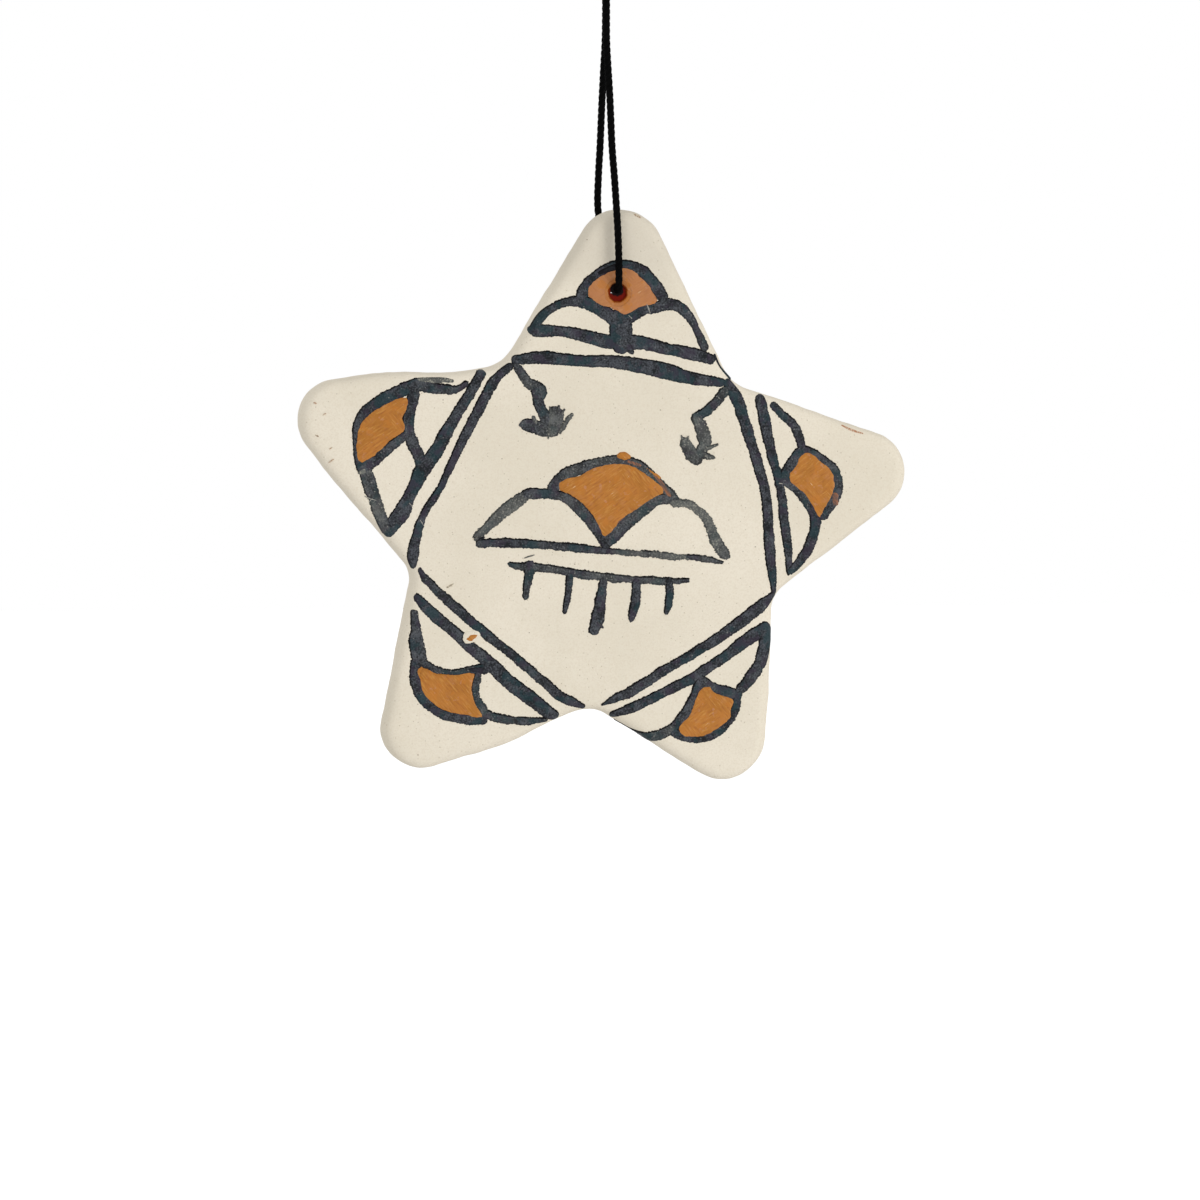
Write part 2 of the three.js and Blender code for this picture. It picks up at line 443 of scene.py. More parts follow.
def clay_material():
    material, tree, shader = new_material("fired_clay")
    where = object_place(tree)
    fine = grain(tree, where, 0.22, detail=4, offset=2)
    pits = spots(tree, where, 0.55, 0.2, 0.4)
    specks = spots(tree, where, 1.5, 0.24, 0.35)
    body = layered(
        tree,
        "e9e0cd",
        (blotches(tree, where, 14, 1, 0.35, 0.65), "f0e7d5"),
        (ramp(tree, fine, 0.4, 0.7, 0, 0.4), "dccfb8"),
        # Painted shade: the clay turns greyer from 27 mm above the star's middle towards the top arm.
        (rising(tree, where, 27, 33, 0.4), "d0c8b8"),
        (times(tree, pits, 0.6), "b5a88f"),
        (times(tree, specks, 0.7), "8c7b62"),
    )
    relief = less(tree, times(tree, fine, 0.6), pits)
    relief = maths(tree, "ADD", relief, grain(tree, where, 2.4, offset=3))
    surface(tree, shader, body, 0.92, 0.25, relief, 0.022)
    return material


def black_rim(tree, drift, wear):
    """1 along a stroke's edges, where wet black paint pools, and most of all along its upper one, as painted
    shade.
    """
    across = attribute(tree, "across")
    inwards = times(tree, less(tree, 1, maths(tree, "ABSOLUTE", across)), attribute(tree, "half"))
    edge = ramp(tree, inwards, 0.26 * MM, 0.14 * MM)
    upwards = times(tree, attribute(tree, "upper"), across)
    # Pooled paint darkens the rims here and there, and painted shade darkens them most along the upper side.
    pooled_and_shaded = ramp(tree, maths(tree, "MULTIPLY_ADD", drift, 1.4, upwards), 0.6, 1.1, 0.3, 1)
    return times(tree, edge, pooled_and_shaded, ramp(tree, wear, 0.3, 0.9, 1, 0.35))


def black_paint_material():
    """Brushed charcoal paint, black where it pooled at an edge, darker still along upper edges as painted
    shade, and thin and grey where the brush was dry.
    """
    material, tree, shader = new_material("black_brush_paint")
    where = object_place(tree)
    drift = grain(tree, where, 1.2, detail=4, offset=1)
    fine = grain(tree, where, 0.22, offset=2)
    tone = maths(tree, "MULTIPLY_ADD", fine, 0.55, times(tree, drift, 0.45))
    patchy = ramp(tree, grain(tree, where, 3.5, offset=9), 0.4, 0.6, 0.75, 1.2)
    wear = times(tree, attribute(tree, "wear"), patchy)
    dry_grey = layered(tree, "5a5b59", (ramp(tree, tone, 0.42, 0.6), "7b7c75"))
    body = layered(
        tree,
        "1b1d20",
        (ramp(tree, tone, 0.4, 0.62), "51545a"),
        (blotches(tree, where, 2, 3, 0.5, 0.6, 0.65), "233b40"),
        (blotches(tree, where, 1.3, 8, 0.52, 0.62, 0.6), "3a3240"),
        (ramp(tree, wear, 0.2, 0.9, 0, 0.95), dry_grey),
        (ramp(tree, wear, 0, -0.3), "0c0b0f"),
        (black_rim(tree, drift, wear), "050305"),
        (ramp(tree, maths(tree, "MULTIPLY_ADD", wear, 0.14, fine), 0.69, 0.76, 0, 0.75), "a29f92"),
    )
    surface(tree, shader, body, 0.62, 0.1, tone, 0.03)
    return material


def brushed(tree, where, slant, offset):
    """Brush marks along a slanted direction across the front."""
    turned = place(tree, "ShaderNodeMapping", {"Vector": where, "Rotation": (0, math.radians(slant), 0)})
    drawn_out = vector_maths(tree, "MULTIPLY", turned.outputs[0], (1, 1, 0.16))
    return grain(tree, drawn_out, 0.2, offset=offset)


def brushed_orange(tree, where):
    """Orange paint whose brush marks change direction from place to place, as (colour, relief)."""
    turn = blotches(tree, where, 7, 3, 0.48, 0.52, detail=1)
    sockets = {0: turn, 2: brushed(tree, where, 40, 1), 3: brushed(tree, where, -55, 7)}
    marks = place(tree, "ShaderNodeMix", sockets, data_type="FLOAT").outputs[0]
    # Painted highlight: pale glints on the ridges of the brush marks.
    glints = times(tree, ramp(tree, marks, 0.62, 0.7), spots(tree, where, 1.2, 0.9, 0.35))
    body = layered(
        tree,
        "ab6b1a",
        (blotches(tree, where, 2.5, 2, 0.35, 0.65), "b87427"),
        (ramp(tree, marks, 0.52, 0.68, 0, 0.6), "c98f40"),
        (ramp(tree, marks, 0.48, 0.32, 0, 0.55), "96551c"),
        (blotches(tree, where, 1.1, 4, 0.55, 0.7, 0.4, detail=2), "b87a44"),
        (rising(tree, where, 18, 24, 0.55), "b77a55"),
        (blotches(tree, where, 1.5, 6, 0.54, 0.62, 0.5), "bd731c"),
        (blotches(tree, where, 0.8, 12, 0.6, 0.68, 0.45), "bf8a68"),
        (times(tree, glints, 0.7), "e6cfa6"),
    )
    return body, marks


def orange_paint_material():
    """Thick ochre-orange paint with brush marks and a soft gloss."""
    material, tree, shader = new_material("orange_brush_paint")
    body, marks = brushed_orange(tree, object_place(tree))
    surface(tree, shader, body, 0.42, 0.35, marks, 0.08)
    return material


def distance_on_face(tree, where, x, z):
    """How far a place is from the line that runs through the star at x and z, a little unevenly."""
    off = vector_maths(tree, "MULTIPLY", vector_maths(tree, "SUBTRACT", where, on_star(x, z)), (1, 0, 1))
    away = maths(tree, "SQRT", vector_maths(tree, "DOT_PRODUCT", off, off))
    return maths(tree, "MULTIPLY_ADD", wobble(tree, where, 0.5), 0.5 * MM, away)


def hole_paint_material():
    """Paint in the hole: orange turning brown and red towards the middle, pooled paint darkened with painted
    shade, and black painted shade round the cord and deep in.
    """
    material, tree, shader = new_material("pooled_paint")
    where = object_place(tree)
    from_middle = distance_on_face(tree, where, HOLE.x, HOLE.y)
    from_cord = distance_on_face(tree, where, HOLE.x - 0.1, HOLE.y + CORD_DIAMETER / 2)
    depth = part_of(tree, where, "Y")
    orange, marks = brushed_orange(tree, where)
    body = layered(
        tree,
        orange,
        (ramp(tree, from_middle, BROWN_FROM * MM, BROWN_TO * MM), "8e4008"),
        (ramp(tree, from_middle, BROWN_TO * MM, RED_TO * MM), "6e1000"),
        # Painted shade: black round the cord where it goes in, and deeper inside the hole.
        (ramp(tree, from_cord, *(away * MM for away in CORD_BLACK)), "0a0102"),
        (ramp(tree, depth, *((deep - SLAB_FACE) * MM for deep in DEEP_BLACK)), "0a0102"),
    )
    surface(tree, shader, body, 0.5, 0.08, marks, 0.05)
    return material


def dragged_paint_material():
    """Orange dragged thin over wet black, which turned it brown."""
    material, tree, shader = new_material("dragged_paint")
    streaks = brushed(tree, object_place(tree), 40, 4)
    body = layered(tree, "4d3a33", (ramp(tree, streaks, 0.4, 0.6), "8d5735"))
    surface(tree, shader, body, 0.5, relief=streaks, depth=0.04)
    return material


def mottled_material(name, size, dark, pale, roughness, specular=0.5):
    """Two tones in patches of about size millimetres."""
    material, tree, shader = new_material(name)
    patches = blotches(tree, object_place(tree), size, 0, 0.4, 0.6)
    surface(tree, shader, layered(tree, dark, (patches, pale)), roughness, specular)
    return material


def stain_material():
    """Faint marks left on the clay: reddish ones, and grey-brown ones where the stroke is drier."""
    material, tree, shader = new_material("clay_stain")
    faded = blotches(tree, object_place(tree), 0.2, 5, 0.45, 0.6)
    body = layered(tree, "b9805f", (attribute(tree, "wear"), "a09581"), (faded, "d5c8b0"))
    surface(tree, shader, body, 0.9)
    return material


def cord_material():
    """Waxed black thread: fine fibres run along each ply."""
    material, tree, shader = new_material("black_thread")
    sockets = {"X": times(tree, attribute(tree, "along"), 0.12), "Y": attribute(tree, "around")}
    fibres = grain(tree, place(tree, "ShaderNodeCombineXYZ", sockets).outputs[0], 0.06, offset=1)
    body = layered(tree, "010101", (ramp(tree, fibres, 0.4, 0.7), "070708"))
    surface(tree, shader, body, 0.8, 0.05, fibres, 0.03)
    return material


CLAY = clay_material()
BLACK_PAINT = black_paint_material()
ORANGE_PAINT = orange_paint_material()
HOLE_PAINT = hole_paint_material()
# Orange paint that pooled against the cord, with the cord's painted shadow in it, and clay showing pale
# through scratches in the black
DEEP_RED_PAINT = mottled_material("deep_red_paint", 0.4, "4a0500", "8a3a0a", 0.5, 0.08)
SCRATCH = mottled_material("scratched_paint", 0.2, "7c7b77", "b3afa3", 0.9)
DRAGGED_PAINT = dragged_paint_material()
STAIN = stain_material()
CORD = cord_material()


# Cord and knot


def strand_points(side):
    """One strand from the knot's foot to the middle of the hole. side is -1 in front and 1 behind."""
    pair_out = PAIR_SPACING / 2
    out = SLAB_FACE + STRAND_STAND_OFF + CORD_DIAMETER / 2
    points = [(0, side * pair_out, -KNOT_FOOT - REST_GAP)]
    for above, front, back, share in STRAND_WAY:
        away = pair_out + (out - pair_out) * share
        points.append((front if side < 0 else back, side * away, above - CORD_DROP))
    for i in range(BEND_STEPS + 1):
        angle = i / BEND_STEPS * math.pi / 2
        away = out - BEND_RADIUS * (1 - math.cos(angle))
        points.append((CORD_SIDE, side * away, -CORD_DROP + BEND_RADIUS * (1 - math.sin(angle))))
    return points


def trefoil_point(turn):
    angle = turn * math.pi
    slow = (KNOT_LOBE - KNOT_EYE) / 2
    fast = (KNOT_LOBE + KNOT_EYE) / 2
    return (
        KNOT_SIDE + slow * math.cos(angle) - fast * math.cos(2 * angle),
        KNOT_DEPTH * math.sin(3 * angle),
        -slow * math.sin(angle) - fast * math.sin(2 * angle),
    )


def knot_middle_line():
    turns = [KNOT_OPENING * (2 * i / KNOT_TURN_POINTS - 1) for i in range(KNOT_TURN_POINTS + 1)]
    foot = [(0, 0, -KNOT_FOOT), (0, 0, -KNOT_FOOT + KNOT_NECK)]
    return smooth_line([*foot, *map(trefoil_point, turns), (0, 0, KNOT_HEAD)], KNOT_PITCH)


def carried_sideways(line):
    """At each point of a line, a direction square to it, carried along without twist from +Y, and its own."""
    aside = Vector((0, 1, 0))
    asides = []
    aheads = [Vector(step).normalized() for step in np.gradient(line, axis=0)]
    for before, now in zip([aheads[0], *aheads], aheads):
        aside = before.rotation_difference(now) @ aside
        asides.append(aside)
    return asides, aheads


def knot_strands():
    """The knot's two strands, each from the loop's end through the knot to its cut tail."""
    middle = knot_middle_line()
    asides, aheads = carried_sideways(middle)
    last = asides[-1]
    left_over = math.atan2(aheads[-1].dot(last.cross(Vector((0, 1, 0)))), last.dot(Vector((0, 1, 0))))
    strands = []
    for side, tail in ((-1, FRONT_TAIL), (1, BACK_TAIL)):
        points = [(0, side * PAIR_SPACING / 2, -KNOT_FOOT - REST_GAP)]
        for i in range(2, len(middle) - 1):
            turned = Quaternion(aheads[i], left_over * i / (len(middle) - 1)) @ asides[i]
            points.append(tuple(Vector(middle[i]) + side * KNOT_STRAND_SPACING / 2 * turned))
        strands.append(smooth_line(points + tail, CORD_PITCH))
    return strands


def twisted_cord_tree():
    """Lays the plies round a line, with one turn to each lay."""
    tree, given = new_tree("twisted_cord")
    line = place(tree, "GeometryNodeMeshToCurve", {"Mesh": given}).outputs[0]
    length = place(tree, "GeometryNodeSplineParameter").outputs["Length"]
    line = stored(tree, line, along=length)
    tilt = times(tree, length, 2 * math.pi / (CORD_LAY * MM))
    line = place(tree, "GeometryNodeSetCurveTilt", {"Curve": line, "Tilt": tilt}).outputs[0]
    round_ply = {"Resolution": PLY_CORNERS, "Radius": PLY_RADIUS * MM}
    ply = place(tree, "GeometryNodeCurvePrimitiveCircle", round_ply).outputs[0]
    ply = stored(tree, ply, around=place(tree, "GeometryNodeSplineParameter").outputs["Length"])
    seats = place(tree, "GeometryNodeMeshCircle", {"Vertices": PLY_COUNT, "Radius": PLY_SEAT * MM})
    plies = place(tree, "GeometryNodeInstanceOnPoints", {"Points": seats.outputs[0], "Instance": ply})
    section = place(tree, "GeometryNodeRealizeInstances", {"Geometry": plies.outputs[0]}).outputs[0]
    sockets = {"Curve": line, "Profile Curve": section, "Fill Caps": True}
    close_tree(tree, place(tree, "GeometryNodeCurveToMesh", sockets).outputs[0])
    return tree


cord_tree = twisted_cord_tree()
loop_points = [*strand_points(-1), (CORD_SIDE, 0, -CORD_DROP), *reversed(strand_points(1))]
loop_line = smooth_line(loop_points, CORD_PITCH)
loop = worked(line_object("cord_loop", [loop_line]), cord_tree, CORD)
knot = worked(line_object("overhand_knot", knot_strands()), cord_tree, CORD)


# Clay star


# Where the knife left the edge a little full or cut it short: place, how far it stands out and how far along
# the edge it goes
BULGES = [
    ((-11.2, -28.0), 0.5, 5.0),
    ((-25.0, 18.8), 0.3, 5.0),
    ((-37.0, 12.0), -0.45, 6.0),
    ((-18.9, 18.9), -0.5, 5.0),
    ((20.5, -29.0), -0.4, 5.0),
    ((-23.0, -31.0), -0.3, 5.0),
]
# The knife's unsteadiness: height, how many waves to the millimetre, and which noise
KNIFE_WAVES = [(0.1, 0.22, 3), (0.05, 0.7, 7)]
# Rolled and smoothed clay is never quite flat: slow waves, small dents and the sponge's fine marks
CLAY_WAVES = [(0.1, 0.07, (5, 0, 0)), (0.03, 0.3, (0, 9, 0)), (0.012, 1.1, (0, 0, 0))]
STEADY_RIM = 2  # round the hole, where the waves die away
OUTLINE_PITCH = 0.3
FACE_PITCH = 0.45
ROUND_STEPS = 10
EDGE_FULLNESS = 0.7  # 1 is a plain quarter circle, and less is squarer
BAND_STEPS = 4
LIP_STEPS = 5
HOLE_STEPS = 48
WALL_STEPS = 8
WELD = 0.002  # corners nearer than this become one
CLEAR_SHARE = 0.6  # of the pitch, kept free of corners inside an outline


def outline_circles():
    found = []
    for (arm_to, arm_reach, arm_round), (dip_to, dip_reach, dip_round) in zip(ARMS, VALLEYS):
        tip = TIP_RADIUS * arm_round
        dip = VALLEY_RADIUS * dip_round
        found.append((in_plane(arm_to, ARM_LENGTH * arm_reach - tip), tip, 1))
        found.append((in_plane(dip_to, VALLEY_DISTANCE * dip_reach + dip), dip, -1))
    return found


def straight_cut(start, end):
    """Both ends of the cut that touches two neighbouring circles, and its outward direction."""
    (centre_a, radius_a, side_a), (centre_b, radius_b, side_b) = start, end
    across = centre_b - centre_a
    turn = math.pi / 2 - side_a * math.asin((radius_a + radius_b) / across.length)
    left = in_plane(math.degrees(math.atan2(across.y, across.x) + turn), 1)
    return centre_a + left * radius_a * side_a, centre_b + left * radius_b * side_b, left


def star_outline():
    """Points round the star, clockwise, and the outward direction at each."""
    circles = outline_circles()
    cuts = [straight_cut(circle, circles[(i + 1) % len(circles)]) for i, circle in enumerate(circles)]
    points = []
    outward = []
    for i, (centre, radius, side) in enumerate(circles):
        first = cuts[i - 1][1] - centre
        last = cuts[i][0] - centre
        start = math.atan2(first.y, first.x)
        sweep = side * (start - math.atan2(last.y, last.x)) % (2 * math.pi)
        steps = max(4, round(sweep * radius / OUTLINE_PITCH))
        for k in range(steps):
            away = in_plane(math.degrees(start - side * sweep * k / steps), 1)
            points.append(centre + away * radius)
            outward.append(away * side)
        start_point, end_point, left = cuts[i]
        steps = max(2, round((end_point - start_point).length / OUTLINE_PITCH))
        for k in range(steps):
            points.append(start_point.lerp(end_point, k / steps))
            outward.append(left)
    return np.array(points), np.array(outward)


def cut_by_hand(points, outward):
    """The outline as the knife left it."""
    moved_points = points.copy()
    for i, (x, z) in enumerate(points):
        out = sum(h * noise.noise(Vector((x * fine, z * fine, seed))) for h, fine, seed in KNIFE_WAVES)
        for (bulge_x, bulge_z), height, reach in BULGES:
            out += height * math.exp(-((x - bulge_x) ** 2 + (z - bulge_z) ** 2) / reach**2)
        moved_points[i] = points[i] + outward[i] * out
    return moved_points


def ring(centre, radius, steps=HOLE_STEPS):
    return np.array([centre + in_plane(360 * i / steps, radius) for i in range(steps)])


def inside(points, line):
    """Which points lie inside a closed line."""
    x, y = points[:, 0][:, None], points[:, 1][:, None]
    x0, y0 = line[:, 0], line[:, 1]
    x1, y1 = np.roll(x0, -1), np.roll(y0, -1)
    with np.errstate(divide="ignore", invalid="ignore"):
        crossed = (y0 > y) != (y1 > y)
        left_of = x < (x1 - x0) * (y - y0) / (y1 - y0) + x0
    return (crossed & left_of).sum(axis=1) % 2 == 1


def within(points, loops):
    """Which points lie inside the first closed line and outside the others."""
    found = inside(points, loops[0])
    for line in loops[1:]:
        found &= ~inside(points, line)
    return found


def distance_to(points, loops, batches=16):
    """How far each point lies from the nearest point of closed lines."""
    edge = np.vstack(loops)
    found = []
    for some in np.array_split(points, batches):
        found.append(np.sqrt(((some[:, None] - edge[None]) ** 2).sum(axis=2)).min(axis=1))
    return np.concatenate(found)


def filled(loops, pitch):
    """Corners and triangles that fill the first closed line, less those inside it."""
    low, high = loops[0].min(axis=0), loops[0].max(axis=0)
    grid = []
    for i, z in enumerate(np.arange(low[1], high[1], pitch * math.sqrt(0.75))):
        grid += [(x + pitch / 2 * (i % 2), z) for x in np.arange(low[0], high[0], pitch)]
    grid = np.array(grid)
    grid = grid[within(grid, loops)]
    grid = grid[distance_to(grid, loops) > pitch * CLEAR_SHARE]
    edges = []
    start = 0
    for line in loops:
        count = len(line)
        edges += [(start + i, start + (i + 1) % count) for i in range(count)]
        start += count
    corners = [Vector(p) for p in np.vstack([*loops, grid])]
    corners, _, faces, *_ = delaunay_2d_cdt(corners, edges, [], 0, 1e-7)
    corners = np.array([tuple(c) for c in corners])
    middles = np.array([corners[list(face)].mean(axis=0) for face in faces])
    kept = within(middles, loops)
    return corners, [face for face, keep in zip(faces, kept) if keep]


def band(first, second, count):
    """Faces that join two closed rings of count corners, which start at the given numbers."""
    return [(first + i, first + (i + 1) % count, second + (i + 1) % count, second + i) for i in range(count)]


def rounded(radius, steps, fullness=1.0):
    """A quarter of rounding, as (how far in it is, how far back it is) from the face to the wall."""
    angles = [i / steps * math.pi / 2 for i in range(steps + 1)]
    return [(radius * (1 - math.sin(a) ** fullness), radius * (1 - math.cos(a) ** fullness)) for a in angles]


def wall_profile(radius, steps, fullness, wall_steps):
    """A wall through the slab with both its edges rounded, as (how far in, place front to back)."""
    front = [(inset, back - SLAB_FACE) for inset, back in rounded(radius, steps, fullness)]
    straight = SLAB_FACE - radius
    middle = [(0, straight * (2 * i / wall_steps - 1)) for i in range(1, wall_steps)]
    return front + middle + [(inset, -y) for inset, y in reversed(front)]


def star_body():
    outline, outward = star_outline()
    outline = cut_by_hand(outline, outward)
    corners = []
    faces = []

    def add_rings(rings):
        for i, (flat, y) in enumerate(rings):
            if i:
                faces.extend(band(len(corners) - len(flat), len(corners), len(flat)))
            corners.extend(stood_up(flat, y))

    edge = wall_profile(EDGE_ROUND, ROUND_STEPS, EDGE_FULLNESS, BAND_STEPS)
    add_rings([(outline - outward * inset, y) for inset, y in edge])
    bore = wall_profile(LIP_RADIUS, LIP_STEPS, 1.0, WALL_STEPS)
    add_rings([(ring(HOLE, HOLE_RADIUS + out), y) for out, y in bore])
    loops = [outline - outward * EDGE_ROUND, ring(HOLE, HOLE_RADIUS + LIP_RADIUS)]
    flat, triangles = filled(loops, FACE_PITCH)
    for y in (-SLAB_FACE, SLAB_FACE):
        faces.extend(tuple(len(corners) + i for i in face) for face in triangles)
        corners.extend(stood_up(flat, y))

    body = mesh_object("painted_star", np.array(corners) * MM, faces)
    face_outwards(body, WELD * MM)
    shape_by_hand(body)
    body.data.materials.append(CLAY)
    body.data.shade_smooth()
    return body


def shape_by_hand(thing):
    mesh = thing.data
    hole = on_star(HOLE.x, HOLE.y).xz / MM
    normals = [normal.vector.copy() for normal in mesh.vertex_normals]
    shaped = []
    for vertex, normal in zip(mesh.vertices, normals):
        spot = vertex.co / MM
        out = sum(h * noise.noise(spot * fine + Vector(offset)) for h, fine, offset in CLAY_WAVES)
        free = min(1, max(0, ((spot.xz - hole).length - HOLE_RADIUS) / STEADY_RIM))
        shaped += [*(vertex.co + normal * out * free * MM)]
    mesh.vertices.foreach_set("co", shaped)
    mesh.update()


star = star_body()


# Brush strokes

# Each motif is a list of strokes, (wear, [(x, z, width), ...]), in millimetres to the right of and above the
# star's middle. Wear goes from -0.3, where the paint pooled, through 0, plain wet paint, to 1, a nearly dry
# brush.
BORDER = [
    (0.1, [(-10.3, 19.9, 1.2), (-6.7, 20.2, 1.7), (-2.5, 19.8, 1.5), (2.6, 19.6, 1.7), (8, 18.6, 2.1),
           (12.2, 17.5, 1.6), (15.8, 17, 1.1)]),
    (0.2, [(16.3, 17.1, 1.1), (17.6, 15, 1.6), (18.6, 12, 1.5), (20.2, 6.9, 1.4), (21.3, 2.5, 1.3),
           (21.8, -4.5, 1.4), (22.3, -9.3, 0.7)]),
    (0.25, [(22.3, -9.4, 0.6), (20.8, -10.8, 1.5), (16.7, -13.9, 1.5), (12.4, -16.7, 1.3), (8.5, -18.9, 1.3),
            (4.7, -21.3, 1.4), (2.3, -22.4, 1.1), (0.6, -23.2, 0.3)]),
    (0.25, [(-22.3, -6, 0.4), (-21.5, -7.3, 1), (-18.2, -10.5, 1.3), (-14.4, -13.8, 1.3), (-10.6, -16.9, 1.2),
            (-7.1, -19.9, 1.2), (-4.8, -21.9, 1.4), (-3.5, -22.6, 1.3), (-1.6, -23.4, 0.6)]),
    (0.2, [(-10.8, 19.2, 0.9), (-12.8, 17.4, 1.3), (-14.7, 14, 1.4), (-17.3, 9, 1.2), (-19.5, 4.3, 1),
           (-21.9, 0.3, 1.1), (-22.8, -2.6, 1.4), (-23.1, -4.4, 1.5), (-23, -5.9, 0.5)]),
]
TOP_CLOUD = [
    (0.15, [(-8.3, 23.6, 1), (-7.3, 23.6, 1.7), (-4, 23.4, 1.4), (1.4, 22.2, 1.9), (5.7, 22, 1.7),
            (8.4, 21.3, 1.5), (13.2, 20.3, 1.6), (14.6, 19.8, 1.1)]),
    (0.3, [(3.1, 26.1, 1.6), (3, 24.7, 2.9), (3, 22.2, 2.8), (3.2, 21.2, 1.9)]),
    (0.2, [(-7.9, 23.7, 1.2), (-6.5, 25.7, 1.2), (-3.8, 27.1, 1.1), (-0.9, 26.9, 1.7), (2.9, 24.3, 1.9)]),
    (0.1, [(-1.9, 27.3, 1.8), (-1.7, 28.5, 1.5), (-0.8, 29.9, 1.3), (1.4, 31.3, 1.3), (3.5, 31.7, 1.3),
           (5.7, 30.9, 1.5), (8.4, 27.6, 1.6)]),
    (0.25, [(3, 24.3, 1.9), (5.5, 26, 1.5), (7.8, 26.5, 1.5), (8.8, 26.8, 1.8)]),
    (0.3, [(8.4, 27, 1.7), (10.5, 26.4, 1.4), (12, 24.7, 1.1), (12.5, 23.6, 1), (13.6, 21.3, 1.2)]),
    (0.3, [(3.8, 21.7, 1.3), (4.5, 20.7, 0.4)]),
    (0.2, [(14.8, 20.5, 0.3), (15.5, 19, 0.2), (16.9, 17.4, 0.3)]),
    # Black pooled left of the cord, made darker still as the cord's painted shadow
    (-0.25, [(0.2, 30.7, 0.5), (1.6, 31.2, 0.9), (2.9, 31.6, 1)]),
]
LEFT_CLOUD = [
    (0.2, [(-14.4, 18.3, 1.3), (-15.6, 16.3, 1.4), (-18.1, 12.3, 1.6), (-20.3, 8.5, 1.8), (-22, 6, 2),
           (-23.5, 3.1, 1.6), (-24.5, 1, 2.1), (-25.8, -0.9, 1.8), (-26.1, -1.7, 1.2)]),
    (0.5, [(-29, 6.5, 1.8), (-28.5, 4.3, 1.8), (-27.7, 2.2, 1.7), (-26.9, 0, 1.5), (-26.2, -1.3, 1.4)]),
    (0.2, [(-22.4, 17.1, 1.5), (-24.6, 16.1, 1.8), (-27.1, 14.9, 1.7), (-29.1, 13.5, 1.4), (-30.1, 11.8, 1),
           (-30.2, 9, 0.9), (-29.6, 6.4, 1.3)]),
    (0.3, [(-22.6, 16.9, 1.6), (-20.6, 16.5, 1.4), (-18.9, 16.3, 1.2), (-17.6, 16.3, 1), (-16.3, 17.1, 0.6)]),
    (0.25, [(-22.9, 16, 1.6), (-23.5, 13.5, 1.5), (-23.6, 11.1, 1.5), (-22.6, 8.5, 1.5), (-21.9, 7.1, 1.7)]),
    (0.25, [(-24.1, 10.6, 1.2), (-26.9, 8.4, 1.4), (-28.8, 6.9, 1.7), (-29.6, 6.5, 1.2)]),
    (0.9, [(-29.2, 6.2, 1.1), (-29.9, 5.9, 0.3)]),
]
RIGHT_CLOUD = [
    (0.2, [(20.5, 15.1, 1.3), (21.2, 11.8, 1.5), (22, 7.9, 1.3), (23, 4.3, 1.2), (23.5, 0.3, 1.2),
           (24, -3.6, 1.2), (24.3, -6.9, 0.8)]),
    (0.3, [(22.1, 14.2, 1), (23.3, 13, 1.1), (24.9, 11.4, 1.2), (25.7, 9.1, 1.1), (25.8, 8.3, 1.1)]),
    (0.3, [(23.6, 5.2, 1.4), (24.8, 7, 1.8), (25.5, 8.2, 1.4), (26.3, 8.5, 1.1), (28.3, 7.3, 1.4),
           (30, 5.6, 1.5), (30.3, 4.1, 1.5), (29.9, 2.6, 1.5), (28.4, 0.2, 1.3)]),
    (0.35, [(23.4, 5, 1.5), (26, 2.8, 1.4), (27.4, 0.6, 1.5)]),
    (0.2, [(27.4, 0.6, 1.5), (27.5, -0.9, 1.4), (26.6, -3.8, 1.4), (25, -6, 1.2), (24.4, -6.6, 0.9)]),
]
LOWER_LEFT_CLOUD = [
    (0.15, [(-22.6, -9.5, 0.9), (-20.9, -11.3, 1.5), (-17.2, -14.6, 1.5), (-13.7, -17.7, 1.7),
            (-11.1, -20.2, 1.9), (-8.2, -22.4, 1.9), (-5.7, -24.3, 1.5), (-5, -24.4, 0.9)]),
    (0.3, [(-23, -11.3, 0.7), (-22.7, -13.7, 1.5), (-22.7, -15, 1.9), (-22.2, -17.4, 2)]),
    (0.2, [(-22.7, -17.7, 1.5), (-22.8, -19.9, 1.5), (-21.8, -22.2, 1.4), (-19.6, -24.1, 1.3),
           (-16.4, -24.8, 1.4), (-14.1, -24.9, 1.2)]),
    (0.3, [(-21.6, -17.9, 1.3), (-20.4, -18.6, 1.1), (-17.9, -19, 0.8), (-15.6, -18.7, 1.3),
           (-14, -18.6, 1.6)]),
    (0.45, [(-14.9, -19.3, 1.1), (-15.3, -21.5, 1.1), (-14.1, -24.1, 1.1)]),
    (0.35, [(-14.1, -24.2, 1.2), (-11.7, -24.9, 1.2), (-8.7, -25.1, 1.1), (-6.3, -25, 0.5)]),
    (-0.15, [(-15.9, -18.7, 0.6), (-14.3, -18.7, 1.1)]),
]
LOWER_RIGHT_CLOUD = [
    (0.1, [(21.4, -13.6, 1.6), (19, -15.1, 1.7), (15.6, -17.6, 1.4), (12, -19.9, 1.4), (8.2, -21.8, 1.3),
           (4.1, -23.7, 1.3), (1.9, -24.4, 0.8)]),
    (0.25, [(21.4, -13.7, 1.4), (21.1, -16.1, 1.7), (20.4, -18.4, 1.6), (18.1, -21.4, 1.4)]),
    (0.3, [(13.1, -20.2, 1.5), (14.9, -21.2, 1.4), (17.8, -22.1, 1.5)]),
    (0.2, [(17.8, -21.6, 1.2), (17.3, -24.1, 1.2), (15.9, -26.1, 1.2), (13.6, -27.4, 1.1), (11.2, -27.4, 1.1),
           (9.4, -26.4, 1.3)]),
    (0.25, [(13, -20.5, 1.5), (12.1, -22.4, 1.1), (11, -24.5, 1.4), (9.6, -26.1, 1.3)]),
    (0.4, [(2.2, -25.2, 0.1), (4.2, -26.3, 0.4), (5.8, -27.1, 1.1), (7.9, -27, 1.4), (9.5, -26.1, 1.2)]),
]
